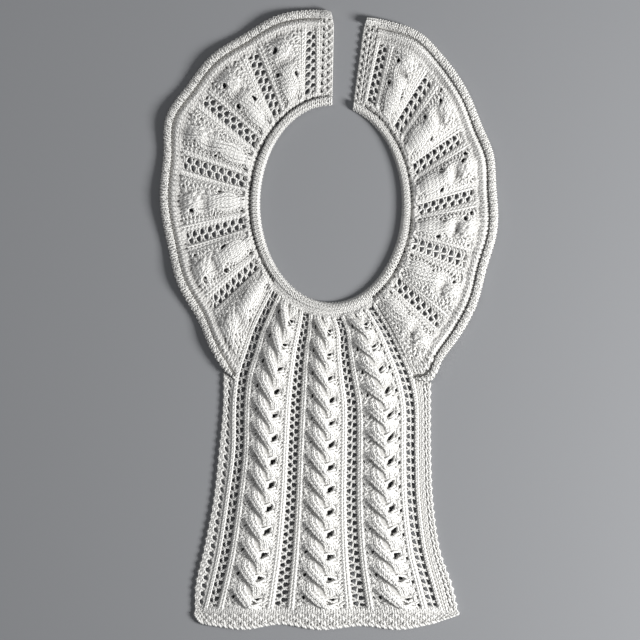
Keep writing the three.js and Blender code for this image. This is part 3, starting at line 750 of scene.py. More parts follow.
# %% Bars between the eyelets
# The row of one hole in the left and in the right line of each column. The others follow every two
# rows.
EYELET_PITCH = 2
EYELETS = named("column left right", [
    (0, 1.9, 0.9), (1, 0.3, 1.1), (2, 1.4, 0.5), (3, 0.1, 1.0), (4, 1.3, 0.5), (5, 1.8, 1.1),
    (6, 0.85, 0.5), (7, 1.6, 0.7), (8, 1.6, 0.1), (9, 0.0, 0.25),
    (10, 0.2, 0.9), (11, 0.65, 0.5), (12, 1.1, 0.2), (13, 1.1, 0.7), (14, 1.2, 1.0), (15, 1.5, 0.6),
])
# The points of a row's yarn over a column: the stitch place, how far it follows the middle when that
# lies to one side, the height, and how far the yarn lies from the middle of its bar.
BAR_POINTS = named("stitch follows height apart", [
    (-0.95, 0.0, 0.0, 0.4),
    (-0.5, 0.5, 0.4, 0.17),
    (-0.1, 1.0, 0.3, 0.15),
    (0.1, 1.0, 0.3, -0.15),
    (0.5, 0.5, 0.4, -0.17),
    (0.95, 0.0, 0.0, -0.4),
])
NEARLY_LEVEL = 0.3


def eyelet_bars(column, row_index):
    """The bars that a row's yarn runs to, left and right, and whether it is the upper of its pair."""
    first_left = EYELETS["left"][column] - 1
    first_right = EYELETS["right"][column] - 1
    middle = row_index + 0.5
    left = EYELET_PITCH * math.floor((middle - first_left) / EYELET_PITCH + 0.5) + first_left
    above = EYELET_PITCH * math.floor((left + NEARLY_LEVEL - first_right) / EYELET_PITCH) + first_right
    upper = middle < left
    return left, above if upper else above + EYELET_PITCH, upper


def eyelet_points(start, row_index, bar, middle):
    """The yarn of one row over the two holes of an eyelet column: stitch, row, depth, thickness."""
    left, right, upper = eyelet_bars(start // REPEAT_STITCHES, row_index)
    apart = BAR_POINTS["apart"] * (-bar if upper else bar)
    rows = np.where(BAR_POINTS["stitch"] < 0, left, right) + apart
    places = start + BAR_POINTS["stitch"] + middle * BAR_POINTS["follows"]
    return np.stack([places, rows, BAR_POINTS["height"], np.full(len(rows), bar)])


print("bars of column 6:", [tuple(round(x, 2) for x in eyelet_bars(6, j)[:2]) for j in range(4, 8)])

# %% [markdown]
# ## Holes beside the cables and in the gutters
#
# Where a cable crosses, it pulls the cloth open beside it. On the jabot a small gap also opens every
# second row between rib and gutter, and lines of fine gaps run beside the neck band and inside the
# outer edging. No yarn is cut at any of them. So each hole is an ellipse that pushes the yarn aside,
# most where it is nearest, and the yarn bends round it as the real one does.

# %% The holes
HOLE_COLUMNS = "stitch row half_width half_height slant"
WING_HOLES = {
    "wing_left": named(HOLE_COLUMNS, [
        (4.1, 8.2, 0.5, 0.66, -0.5),
        (8.5, 9.7, 0.5, 0.6, 0.0),
        (7.9, 15.1, 0.5, 0.66, 0.0),
        (3.2, 15.6, 0.35, 0.5, 0.0),
        (3.9, 17.0, 0.35, 0.5, 0.0),
    ]),
    "wing_right": named(HOLE_COLUMNS, [
        (3.7, 8.7, 0.5, 0.6, 0.0),
        (8.1, 9.3, 0.5, 0.66, 0.4),
        (7.8, 14.9, 0.42, 0.66, 0.0),
        (3.3, 16.6, 0.4, 0.5, 0.0),
        (9.0, 16.4, 0.45, 0.5, 0.0),
    ]),
}
LEFT_CROSSING_HOLE = (3.5, -0.8, 0.5, 0.64, 0.3)
RIGHT_CROSSING_HOLE = (7.75, -0.25, 0.85, 1.0, 0.9)
GUTTER_DOT = {"stitch": 2.45, "half_width": 0.38, "half_height": 0.55}
# Lines of small gaps along the rows next to the neck band and inside the outer edging: the row, how
# many stitches lie between two gaps, and half of a gap's width and height.
DASH_COLUMNS = "row step half_width half_height"
NECK_DASHES = named(DASH_COLUMNS, [(0.6, 1.35, 0.5, 0.5), (2.5, 1.1, 0.45, 0.42)])
EDGE_DASHES = named(DASH_COLUMNS, [(18.0, 0.95, 0.32, 0.42)])
DASH_START, DASH_END = 0.7, 0.4
HOLE_MARGIN_AT = 0.03
HOLE_MARGIN_ROWS = 0.8


def crossings_of(zone):
    """The rows at which a zone's cables cross."""
    count = math.ceil((zone["rows"] - zone["first_crossing"]) / zone["crossing_step"])
    return [zone["first_crossing"] + zone["crossing_step"] * k for k in range(count)]


def dash_line(table, first_at, last_at):
    """The gaps of all the dash lines of a table between two places round the neck."""
    first, last = first_at * REPEAT_STITCHES + DASH_START, last_at * REPEAT_STITCHES - DASH_END
    return [
        (stitch, row, half_width, half_height, 0.0)
        for row, step, half_width, half_height in zip(*table.values())
        for stitch in np.arange(first, last, step)
    ]


def panel_holes(name):
    """The holes of one panel: in their own places on a wing, and at every crossing on the jabot."""
    if name in WING_HOLES:
        return list(zip(*WING_HOLES[name].values()))
    return [
        (stitch, crossing + row, half_width, half_height, slant)
        for crossing in crossings_of(ZONES[name])
        for stitch, row, half_width, half_height, slant in (LEFT_CROSSING_HOLE, RIGHT_CROSSING_HOLE)
    ]


def gutter_dots(zone, column):
    """The small gaps in the gutters to the left and right of an eyelet column."""
    dot = GUTTER_DOT
    return [
        (column * REPEAT_STITCHES + away * dot["stitch"], row, dot["half_width"], dot["half_height"], 0.0)
        for line, away in (("left", -1), ("right", 1))
        for row in np.arange(EYELETS[line][column] + EYELET_PITCH, zone["pattern"][1], EYELET_PITCH)
    ]


def zone_holes(name, first_at, last_at):
    """All the holes of a zone that push its yarn aside, as rows of five numbers."""
    zone = ZONES[name]
    on_wing = name in WING_HOLES
    holes = []
    for repeat in range(math.floor(first_at), math.ceil(last_at) + 1):
        start = repeat * REPEAT_STITCHES
        stitches, rows, larger = PANEL_CHANGES[repeat + 1] if on_wing else (0, 0, 0)
        for stitch, row, half_width, half_height, slant in panel_holes(name):
            half_width, half_height = half_width * (1 + larger), half_height * (1 + larger)
            holes.append((start + stitch + stitches, row + rows, half_width, half_height, slant))
        if not on_wing:
            holes.extend(gutter_dots(zone, repeat))
    inside = [
        hole for hole in holes
        if first_at + HOLE_MARGIN_AT < hole[0] / REPEAT_STITCHES < last_at - HOLE_MARGIN_AT
        and HOLE_MARGIN_ROWS < hole[1] < zone["rows"] - HOLE_MARGIN_ROWS
    ]
    inside.extend(dash_line(NECK_DASHES, first_at, last_at))
    if on_wing:
        inside.extend(dash_line(EDGE_DASHES, first_at, last_at))
    return np.array(inside)


print("holes in the jabot besides eyelets:", len(zone_holes("jabot", SIDE_AT["left"], SIDE_AT["right"])))

# %% Pushing the yarn aside
# Measured in a hole's own half width and height: how far the yarn stays from its middle, as far as
# where it is pushed, the least distance that is divided by, and as far as where its line gets more
# points. Only holes within a few rows are tried, and only larger ones get those points.
HOLE_SIZE = 0.95
HOLE_REACH = 1.9
HOLE_MIDDLE = 0.05
FINE_REACH = 1.4
FINE_PARTS = 4
LARGE_HOLE = 0.65
SMALL_HOLE = 0.45
ROWS_TRIED = 2


def from_hole(across, rows, hole):
    """How far points are from a hole's middle, 1 on its edge, and the two parts of that."""
    stitch, row, half_width, half_height, slant = hole
    over = (across - stitch) / half_width
    down = (rows - row + slant * (across - stitch)) / half_height
    return np.hypot(over, down), over, down


def finer_near(line, holes, least):
    """The same line with three more points on every piece that comes near a hole of that height."""
    near = np.zeros(line.shape[1] - 1, bool)
    for hole in holes:
        if hole[3] > least:
            close = from_hole(line[0], line[1], hole)[0] < FINE_REACH
            near |= close[1:] | close[:-1]
    i = np.flatnonzero(near)
    parts = np.arange(1, FINE_PARTS) / FINE_PARTS
    step = line[:, i + 1] - line[:, i]
    between = line[:, i][:, :, None] + step[:, :, None] * parts
    return np.insert(line, np.repeat(i + 1, len(parts)), between.reshape(len(line), -1), axis=1)


def pushed_aside(line, holes, least=LARGE_HOLE):
    """A row's line, pushed aside round the holes near it."""
    low, high = line[1].min() - ROWS_TRIED, line[1].max() + ROWS_TRIED
    holes = [hole for hole in holes if low < hole[1] < high]
    line = finer_near(line, holes, least)
    across, rows = line[0], line[1]
    for hole in holes:
        far, over, down = from_hole(across, rows, hole)
        near = far < HOLE_REACH
        if not near.any():
            continue
        far = np.maximum(far, HOLE_MIDDLE)
        push = np.where(near, HOLE_SIZE / far + (HOLE_REACH - HOLE_SIZE) / HOLE_REACH, 1)
        stitch, row, half_width, half_height, slant = hole
        across = stitch + over * push * half_width
        rows = row + down * push * half_height - slant * (across - stitch)
    return np.stack([across, rows, line[2], line[3]])


test_line = np.array([[-1.0, 0.0, 1.0], [0.0, 0.2, 0.0], [0.0, 0.0, 0.0], [1.0, 1.0, 1.0]])
moved = pushed_aside(test_line, [(0.0, 0.0, 0.5, 0.5, 0.0)])
print("a yarn's row of 0.2 beside a hole becomes", moved[1][1].round(2))

# %% [markdown]
# ## A row of knitting
#
# The yarn of one row goes through the stitches from left to right, and each loop starts where the
# one before it ended. One loop could be copied along a curve with an array modifier, but then every
# stitch would be the same, and a cable's loops have to follow its strands. Where the yarn goes from
# one strand to the other, it floats low between them.

# %% Rows of yarn
FLOAT_HEIGHT = -0.5
FLOAT_THICKNESS = 0.8


def stitch_middle(stitch, zone, row_middle):
    """A stitch's middle and width. A gutter's reach from the rib to the edge of the cable."""
    if stitch["kind"] == "cable":
        return stitch["place"], zone["wale"]
    if stitch["kind"] == "gutter":
        first, last = sorted((stitch["from"], cable_edge(zone, stitch["side"], row_middle)))
        width = (last - first) / stitch["parts"]
        return first + width * (stitch["part"] + 0.5), width
    return stitch["place"], stitch["width"]


def stitch_course(stitch, zone, middle, row_middle, rows):
    """Where a stitch lies at some rows: its stitch place, its height and how far it spreads."""
    if stitch["kind"] != "cable":
        return middle, zone[stitch["height"]] if "height" in stitch else 0.0, 1.0
    first_on_left = math.cos(cable_phase(zone, row_middle)) > 0
    strand, wale = divmod(stitch["wale"], STRAND_WALES)
    return cable_place(zone, strand if first_on_left else 1 - strand, wale - 1, rows)


def knit_row(stitches, row_index, face_at, zone=None):
    """The line of one row's yarn: stitch places, rows, depths and thickness."""
    line = []
    foot = None
    after_eyelet = False
    row_middle = row_index + 0.5
    low = row_middle - LOOP_REACH
    for stitch in stitches:
        if stitch["kind"] == "eyelet":
            line.append(eyelet_points(stitch["start"], row_index, zone["bar"], zone["middle"]))
            foot = None
            after_eyelet = True
            continue
        face = face_at(stitch, row_index)
        middle, width = stitch_middle(stitch, zone, row_middle)
        across, along, out = loop_points(width, face)
        rows = row_middle + along
        place, height, spread = stitch_course(stitch, zone, middle, row_middle, rows)
        across = across * spread + place + stitch["start"]
        out = out + height
        if stitch["kind"] == "cable" and stitch["wale"] == STRAND_WALES:
            between = (foot[0] + across[0]) / 2
            line.append(np.array([[between], [low], [FLOAT_HEIGHT * zone["relief"]], [FLOAT_THICKNESS]]))
        elif foot is not None:
            across[0] = (across[0] + foot[0]) / 2
            out[0] = (out[0] + foot[1]) / 2
        loop = np.stack([across, rows, out, np.full(len(rows), stitch.get("thickness", 1.0))])
        line.append(loop[:, 1:] if after_eyelet else loop)
        place, height, spread = stitch_course(stitch, zone, middle, row_middle, low)
        foot = (place + stitch["start"] + spread * width / 2, height - face * LOOP_DEPTH)
        after_eyelet = False
    if foot is not None:
        line.append(np.array([[foot[0]], [low], [foot[1]], [1.0]]))
    return np.concatenate(line, 1)


test_row = knit_row(chart_between(CHART, 6, 7), 10, lambda stitch, row_index: stitch["face"], ZONES["jabot"])
print("points on one repeat of a row:", test_row.shape[1])

# %% The rows of a zone
def chart_face(stitch, row_index):
    """The face that the chart gives a stitch."""
    return stitch["face"]


# On the wings the first wales of the lower cable show a mix of knit and purl.
MIXED_WALES = 2
MIXED_ROWS = range(11, 18)


def wing_face(stitch, row_index):
    """The face of a wing's stitch."""
    if stitch["kind"] == "cable" and stitch["wale"] < MIXED_WALES and row_index in MIXED_ROWS:
        return KNIT if (stitch["wale"] + row_index) % 2 == 0 else PURL
    return chart_face(stitch, row_index)


def zone_rows(name, first_at, last_at, indices, face_at, holes):
    """The yarn of a zone's rows. The first and last rows are knitted plain, the very last double."""
    zone = ZONES[name]
    charted = chart_between(CHART, first_at, last_at)
    plain = chart_between(PLAIN_CHART, first_at, last_at)
    double = chart_between(LAST_CHART, first_at, last_at)
    first, last = zone["pattern"]
    rows = []
    for j in indices:
        stitches = charted if first <= j < last else double if j >= last else plain
        rows.append(pushed_aside(knit_row(stitches, j, face_at, zone), holes))
    return rows


wing_row = zone_rows("wing_left", WING_FIRST_AT, SIDE_AT["left"], [4], wing_face, [])[0]
print("points on a wing's row:", wing_row.shape[1])

# %% [markdown]
# ## Yarn as a round tube
#
# A yarn is a long round tube that follows its line. A bevelled curve would make one, but without a
# height or a twist for each point, and bmesh operators would take minutes for the eighty thousand
# rings of this collar. So these meshes alone are worked out as arrays.
# Real yarn is squeezed flat where loops cross; these tubes stay round and run into each other there,
# which doesn't show from outside. A ring of points stands
# square to the line at every step, each ring is joined to the next, and both ends are closed. The
# tube's unrolled surface is laid out in rows of equal length, which gives the mesh a flat map without
# overlaps. A second map holds the length along the yarn and the turn round it, for the twist of its
# plies, and a third the height in the cloth, which sets the yarn's painted shade.

# %% Tubes of yarn
RING = 5
# A yarn that runs straight up has no side. This keeps the division by its length possible.
LEAST_SIDE = 1e-6


def tube_rings(line, radius):
    """Rings of points round a line, square to it, with the first point of each ring on top."""
    ahead = np.concatenate([line[1:], line[-1:]])
    behind = np.concatenate([line[:1], line[:-1]])
    way = ahead - behind
    way /= np.linalg.norm(way, axis=1)[:, None]
    side = np.stack([way[:, 1], -way[:, 0], np.zeros(len(way))], -1)
    side /= np.maximum(np.linalg.norm(side, axis=1), LEAST_SIDE)[:, None]
    up = np.cross(side, way)
    turn = np.pi / 2 + 2 * np.pi * np.arange(RING) / RING
    around = np.cos(turn)[None, :, None] * side[:, None, :] + np.sin(turn)[None, :, None] * up[:, None, :]
    return line[:, None, :] + around * radius[:, None, None]


def add_piece(name, mesh):
    """Puts a finished mesh into the scene as a smooth object at the origin."""
    mesh.shade_smooth()
    piece = bpy.data.objects.new(name, mesh)
    bpy.context.scene.collection.objects.link(piece)
    return piece


bent_line = np.array([[0.0, 0.0, 0.0], [1.0, 0.0, 0.0], [2.0, 0.0, 1.0]])
test_rings = tube_rings(bent_line, np.full(3, YARN_RADIUS))
print("points of three rings:", test_rings.shape)

# %% The faces and maps of a yarn
# The unrolled map: how many times wider than high its field of cells is, the margin inside a cell, and
# the size of the disc that closes an end.
MAP_SHAPE = 4.2
MAP_MARGIN = 0.04
MAP_DISC = 0.3


def corner_pairs(here, there, turn, next_turn):
    """A map's pairs at the four corners of the faces that lead from here to there on a yarn."""
    return np.stack([here, turn, there, turn, there, next_turn, here, next_turn], -1).reshape(-1, 2)


def yarn_sides(run, depth, cell, wide, high):
    """The faces round a yarn and their pairs in the three maps."""
    i = np.repeat(np.arange(len(run) - 1), RING)
    k = np.tile(np.arange(RING), len(run) - 1)
    m = (k + 1) % RING
    quads = np.stack([i * RING + k, (i + 1) * RING + k, (i + 1) * RING + m, i * RING + m], -1)
    column, row = (cell + i) % wide, (cell + i) // wide
    filled = 1 - 2 * MAP_MARGIN
    low = (row + MAP_MARGIN + filled * k / RING) / high
    top = (row + MAP_MARGIN + filled * (k + 1) / RING) / high
    flat = corner_pairs(column / wide, (column + 1) / wide, low, top)
    twist = corner_pairs(run[i], run[i + 1], k / RING, (k + 1) / RING)
    deep = corner_pairs(depth[i], depth[i + 1], np.zeros(len(i)), np.zeros(len(i)))
    return quads, flat, twist, deep


def yarn_end(run, depth, ring, order, cell, wide, high):
    """The face that closes one end of a yarn and its pairs in the three maps."""
    order = np.array(order)
    turn = 2 * np.pi * order / RING
    middle = np.array([cell % wide + 0.5, cell // wide + 0.5])
    disc = middle + MAP_DISC * np.stack([np.cos(turn), -np.sin(turn)], -1)
    twist = np.tile([run[ring], 0.0], (RING, 1))
    deep = np.tile([depth[ring], 0.0], (RING, 1))
    return ring * RING + order[None, :], disc / [wide, high], twist, deep


def yarn_piece(name, lines, radii, shade_heights):
    """One mesh of round yarns, each given by its line, its radius and the height that sets its painted shade
    at every point.
    """
    cells = sum(len(line) + 1 for line in lines)
    wide = math.ceil(math.sqrt(cells * MAP_SHAPE))
    high = math.ceil(cells / wide)
    faces, flat, twist, deep = [], [], [], []
    cell = base = 0
    for line, depth in zip(lines, shade_heights):
        last = len(line) - 1
        run = np.concatenate([[0], np.cumsum(np.linalg.norm(np.diff(line, axis=0), axis=1))])
        backwards = np.arange(RING)[::-1]
        for part in (
            yarn_sides(run, depth, cell, wide, high),
            yarn_end(run, depth, 0, np.arange(RING), cell + last, wide, high),
            yarn_end(run, depth, last, backwards, cell + last + 1, wide, high),
        ):
            faces.extend((part[0] + base * RING).tolist())
            flat.append(part[1])
            twist.append(part[2])
            deep.append(part[3])
        cell += last + 2
        base += last + 1
    rings = np.concatenate([tube_rings(line, radius) for line, radius in zip(lines, radii)])
    mesh = bpy.data.meshes.new(name)
    mesh.from_pydata((rings.reshape(-1, 3) * MM).tolist(), [], faces)
    for map_name, pairs in (("OFBake", flat), ("Plies", twist), ("Height", deep)):
        layer = mesh.uv_layers.new(name=map_name)
        layer.data.foreach_set("uv", np.concatenate(pairs).astype(np.float32).ravel())
    mesh.update()
    return add_piece(name, mesh)


print("corner pairs of one face:", corner_pairs(*np.array([[0], [1], [0.2], [0.4]])).tolist())

# %% [markdown]
# ## Ground under the loops
#
# Between the loops of real cotton knitting the yarn's fluff closes the gaps, so the cloth looks
# solid except at its holes. Fluff as hair would be millions of strands. A thin sheet under the loops
# does this here, in a grey that paints the shade between the loops: a grid from one bmesh operator,
# with every point moved to its place in the cloth.
# Its cells are deleted at the eyelets and beside every crossing of a cable, where the real cloth
# shows what lies behind, and a Solidify modifier gives it its thickness.

# %% The ground's lines
GROUND_THICKNESS = 0.4
GROUND_CABLE_RISE = 0.8
GROUND_RISE_STITCHES = 0.6
GROUND_STITCHES = [
    -1.0, 1.0, 1.6, 2.15, 2.75, 3.3, 3.7, 4.2, 4.8, 5.4,
    6.0, 6.6, 7.2, 7.55, 7.9, 8.25, 8.7, 9.25, 9.85, 10.4,
]
GROUND_ROW_STEP = 0.5
ROW_TOLERANCE = 0.1
NARROWEST_CELL = 0.05


def ground_stations(first_at, last_at):
    """Places for the ground's lines between two places round the neck, both included."""
    first, last = first_at * REPEAT_STITCHES, last_at * REPEAT_STITCHES
    places = [
        repeat * REPEAT_STITCHES + stitch
        for repeat in range(math.floor(first_at) - 1, math.ceil(last_at) + 2)
        for stitch in GROUND_STITCHES
    ]
    inside = [place for place in places if first + NARROWEST_CELL < place < last - NARROWEST_CELL]
    return np.array([first, *inside, last])


def ground_rows(first, last):
    """The rows of the ground's lines, as far as the last row that a step reaches."""
    return np.arange(first, last + ROW_TOLERANCE, GROUND_ROW_STEP)


def cable_rise(zone, stitch, row):
    """How much the ground rises under a cable."""
    place = stitch % REPEAT_STITCHES
    inside = np.minimum(place - cable_edge(zone, -1, row), cable_edge(zone, 1, row) - place)
    return GROUND_CABLE_RISE * zone["relief"] * np.clip(inside / GROUND_RISE_STITCHES, 0, 1)


print("ground's lines across a wing:", len(ground_stations(WING_FIRST_AT, SIDE_AT["left"])))

# %% The ground's holes and its sheet
EYELET_HALF = 1.0
EYELET_FIRST, EYELET_LAST = 0.2, 0.3
GROUND_HOLE = 0.85


def is_gap(holes, stitch, row):
    """Which of some places lie in a hole."""
    gone = np.zeros(len(stitch), bool)
    for hole in holes:
        gone |= from_hole(stitch, row, hole)[0] < GROUND_HOLE
    return gone


def is_open(zone, holes, stitch, row):
    """Which of some places in a zone lie in an eyelet column or a hole."""
    from_column = np.abs((stitch + REPEAT_STITCHES / 2) % REPEAT_STITCHES - REPEAT_STITCHES / 2)
    first, last = zone["pattern"]
    in_column = (from_column < EYELET_HALF) & (row > first + EYELET_FIRST) & (row < last - EYELET_LAST)
    return in_column | is_gap(holes, stitch, row)


def grid_shape(columns, rows, place_at):
    """A bmesh grid with a point for each column and row, moved to its place in millimetres."""
    shape = bmesh.new()
    bmesh.ops.create_grid(shape, x_segments=len(rows) - 1, y_segments=len(columns) - 1, size=1)
    column, row = (grid.ravel() for grid in np.meshgrid(columns, rows, indexing="ij"))
    for vertex, place in zip(shape.verts, place_at(column, row) * MM):
        vertex.co = place
    return shape


def shaped_piece(name, shape):
    """Makes a piece of a finished bmesh."""
    mesh = bpy.data.meshes.new(name)
    shape.to_mesh(mesh)
    shape.free()
    return add_piece(name, mesh)


def ground_piece(name, columns, rows, point_at, level_at, open_at):
    """A thin closed sheet on a grid of stitch places and rows, open where open_at says so."""
    shape = grid_shape(columns, rows, lambda stitch, row: np.column_stack([
        point_at(stitch, row), level_at(stitch, row),
    ]))
    middles = np.meshgrid((columns[1:] + columns[:-1]) / 2, (rows[1:] + rows[:-1]) / 2, indexing="ij")
    gone = open_at(*(middle.ravel() for middle in middles))
    open_cells = [cell for cell, is_gone in zip(shape.faces, gone) if is_gone]
    bmesh.ops.delete(shape, geom=open_cells, context="FACES")
    piece = shaped_piece(name, shape)
    solidify = piece.modifiers.new("thickness", "SOLIDIFY")
    solidify.thickness = GROUND_THICKNESS * MM
    solidify.offset = 0
    return piece


test_open = is_open(ZONES["jabot"], [], np.arange(72, 84.0), np.full(12, 9.0))
print("open places in a row of one repeat:", int(test_open.sum()), "of", len(test_open))

# %% [markdown]
# ## The two wings
#
# Each zone is knitted row by row. A zone's surface function gives the place of a stitch and row, and
# its lift how far the cloth stands off the surface there; the loop's own depth comes on top. The
# knitting could be made flat and bent by a lattice afterwards, but round yarn would be squashed with
# it. Here only the lines are bent, and the yarn stays round.

# %% Laying yarn on a surface
# In millimetres, the width of a stitch whose yarn has its usual radius, and how high the middle of the
# knitting lies over its surface. Between them, how thin and how thick the yarn may get.
YARN_GAUGE = 3.3
YARN_SQUEEZED, YARN_FULL = 0.72, 1.2
CLOTH_MIDDLE = 1.31
PIECES = {}
GROUNDS = {}


def yarn_radius(here, beside):
    """A yarn is squeezed where the stitches are narrow and full where they are wide."""
    width = np.linalg.norm(beside - here, axis=1)
    return YARN_RADIUS * np.clip(width / YARN_GAUGE, YARN_SQUEEZED, YARN_FULL)


def no_hollow_shade(stitch, row):
    return np.zeros(len(stitch))


def lay_yarn(name, rows_of_line, point_at, lift_at, thickness, hollow_shade_at=no_hollow_shade):
    """Lays each row's line on a surface and makes one piece of yarn of them all."""
    stitch, row, out, thick = np.concatenate(rows_of_line, 1)
    here = point_at(stitch, row)
    beside = point_at(stitch + 1, row)
    radius = yarn_radius(here, beside) * thick * thickness
    above = CLOTH_MIDDLE + out
    # Painted shade: the height that sets the yarn's grey, lowered further in hollows and sunk rows.
    deep = above + np.minimum(hollow_shade_at(stitch, row), 0)
    points = np.column_stack([here, lift_at(stitch, row) + above])
    cuts = np.cumsum([line.shape[1] for line in rows_of_line])[:-1]
    return yarn_piece(name, np.split(points, cuts), np.split(radius, cuts), np.split(deep, cuts))


def report(piece, node):
    """Prints a piece's box beside the CAD solid's, in millimetres."""
    corners = np.array([vertex.co[:] for vertex in piece.data.vertices]) / MM
    low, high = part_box(node)
    print(f"{piece.name}: {corners.min(0).round(1).tolist()} to {corners.max(0).round(1).tolist()},",
          f"CAD {[round(x / MM, 1) for x in low]} to {[round(x / MM, 1) for x in high]},",
          f"{sum(len(p.vertices) - 2 for p in piece.data.polygons)} triangles")


print("squeezed and full yarn in mm:", YARN_RADIUS * YARN_SQUEEZED, YARN_RADIUS * YARN_FULL)

# %% The wings
# How many stitches beside an eyelet column are moved outwards, how far on the first row, and how much
# less far on each row after it.
FAN_HALF = 3.0
FAN_FIRST = 1.0
FAN_STEP = -0.055
# How much darker the sunk rows are painted than their depth alone would make them: painted shade.
HOLLOW_PAINTED_SHADE = 2.2
# The rows that are knitted on each wing, and how near to its edges their loops may come. The bare
# ground before and after them shows as a groove.
WING_KNITTED = range(1, WING_ROWS - 1)
WING_FIRST_LOOPS = 0.72
WING_LAST_LOOPS = 20.0


def fan(stitch, row):
    """An eyelet column keeps its width in millimetres while the stitches round it widen."""
    from_column = (stitch + REPEAT_STITCHES / 2) % REPEAT_STITCHES - REPEAT_STITCHES / 2
    share = np.clip(1 - (from_column / FAN_HALF) ** 2, 0, None) ** 2
    return stitch + from_column * (FAN_FIRST + FAN_STEP * row) * share


def knit_wing(side, first_at, last_at):
    """One wing's yarn and ground."""
    name = f"wing_{side}"
    zone = ZONES[name]
    holes = zone_holes(name, first_at, last_at)
    rows = zone_rows(name, first_at, last_at, WING_KNITTED, wing_face, holes)
    for line in rows:
        line[1] = np.clip(line[1], WING_FIRST_LOOPS, WING_LAST_LOOPS)

    def point_at(stitch, row):
        return wing_point(side, fan(stitch, row) / REPEAT_STITCHES, row)

    def lift_at(stitch, row):
        return wing_lift(side, stitch / REPEAT_STITCHES, row)

    # Painted shade: the valleys between the puffs and the sunk rows are painted darker.
    def hollow_shade_at(stitch, row):
        sunk_rows = sunk(NECK_ROLLS, row) + sunk(EDGE_ROLLS, row)
        return wing_puffs(side, stitch / REPEAT_STITCHES, row) + HOLLOW_PAINTED_SHADE * sunk_rows

    def ground_at(stitch, row):
        return lift_at(stitch, row) + zone["ground"] + cable_rise(zone, stitch, row)

    def open_at(stitch, row):
        return is_open(zone, holes, stitch, row)

    yarn = lay_yarn(f"{name}_yarn", rows, point_at, lift_at, zone["yarn"], hollow_shade_at)
    columns = ground_stations(first_at, last_at)
    ground = ground_piece(f"{name}_ground", columns, ground_rows(0, WING_ROWS), point_at, ground_at, open_at)
    PIECES[f"collar_{name}"] = [yarn]
    GROUNDS[f"collar_{name}"] = ground
    report(yarn, f"collar_{name}")


knit_wing("left", WING_FIRST_AT, SIDE_AT["left"])
knit_wing("right", SIDE_AT["right"], WING_LAST_AT)

# %% [markdown]
# ## The jabot
#
# The jabot goes on with the same stitches over eighty rows, and its cables stand up like real ropes
# because nothing stretches them. As one mesh its yarn would be slow to edit and to export, so it is
# made in two, above and below the middle of its length, over one ground.

# %% The jabot
JABOT_PARTS = {"upper": range(0, 40), "lower": range(40, JABOT_ROWS)}


def jabot_at(stitch, row):
    return jabot_point(stitch / REPEAT_STITCHES, row)


def jabot_lift_at(stitch, row):
    return jabot_lift(np.clip(stitch / REPEAT_STITCHES, SIDE_AT["left"], SIDE_AT["right"]), row)


def knit_jabot(first_at, last_at):
    """The jabot's yarn, in an upper and a lower piece, and its ground."""
    zone = ZONES["jabot"]
    holes = zone_holes("jabot", first_at, last_at)

    # Painted shade: the sunk rows by the neck are painted darker.
    def hollow_shade_at(stitch, row):
        return HOLLOW_PAINTED_SHADE * sunk(NECK_ROLLS, row)

    def ground_at(stitch, row):
        return jabot_lift_at(stitch, row) + zone["ground"] + cable_rise(zone, stitch, row)

    def open_at(stitch, row):
        return is_open(zone, holes, stitch, row)

    PIECES["jabot"] = []
    for part, indices in JABOT_PARTS.items():
        rows = zone_rows("jabot", first_at, last_at, indices, chart_face, holes)
        yarn = lay_yarn(f"jabot_yarn_{part}", rows, jabot_at, jabot_lift_at, zone["yarn"], hollow_shade_at)
        PIECES["jabot"].append(yarn)
        report(yarn, "jabot")
    columns = ground_stations(first_at, last_at)
    GROUNDS["jabot"] = ground_piece(
        "jabot_ground", columns, ground_rows(0, JABOT_ROWS), jabot_at, ground_at, open_at)


knit_jabot(SIDE_AT["left"], SIDE_AT["right"])

# %% [markdown]
# ## Borders and the hem
#
# Knit and purl stitches that change places from row to row lie flat and don't curl, so a knitter
# edges a piece with them. They make the small bumps of seed stitch in the back borders and the hem,
# and a column of small dashes down the jabot's borders. The hem ends in the chain of the cast-off.
# A plain strip with a bump map would do from afar, but its edge would be too smooth, so these are
# knitted as the panels are, from plain strips of stitches.

# %% Stitches and gaps of the borders
BORDER_YARN = 1.15
BORDER_LINES = 13
GROUND_LEVEL = 0.7


def seed_face(stitch, row_index):
    """Seed stitch: knit and purl change places along the row and from row to row."""
    return KNIT if (stitch["wale"] + row_index) % 2 == 0 else PURL


def dashes(columns, first_row, last_row):
    """Small gaps every two rows, in columns with their stitch, first row, half width and half height."""
    return [
        (stitch, row, half_width, half_height, slant)
        for stitch, start, half_width, half_height, slant in columns
        for row in np.arange(first_row + start, last_row, EYELET_PITCH)
    ]


def knit_plain(node, rows, point_at, lift_at, thickness, columns, grid_rows, holes):
    """A plain zone's yarn and ground, with only small gaps."""
    rows = [pushed_aside(row, holes, SMALL_HOLE) for row in rows]
    PIECES[node] = [lay_yarn(f"{node}_yarn", rows, point_at, lift_at, thickness)]
    GROUNDS[node] = ground_piece(
        f"{node}_ground", columns, grid_rows, point_at,
        lambda stitch, row: lift_at(stitch, row) + GROUND_LEVEL,
        lambda stitch, row: is_gap(holes, stitch, row),
    )
    report(PIECES[node][0], node)


print("faces of a seed stitch row:", [seed_face({"wale": k}, 0) for k in range(4)])

# %% The back borders
BACK_BORDER_STITCHES = 4
BACK_SEAM = 0.14
# Columns of small gaps: their stitch, the first one's row, half of their width and height, and their
# slant.
BACK_DASHES = {
    "left": [(-5.1, 1.4, 0.65, 0.5, 0.0), (-3.8, 0.9, 0.75, 0.52, 0.0)],
    "right": [(184.0, 0.5, 0.7, 0.52, 0.0), (185.6, 1.3, 0.6, 0.48, 0.0)],
}
# The rounded outer corners: how far in, from which row, and over how many rows and stitches.
CORNER_INSET = {"left": 1.5, "right": 0.9}
CORNER_FIRST_ROW = 18.0
CORNER_ROWS = 5.0
CORNER_STITCHES = 4.0


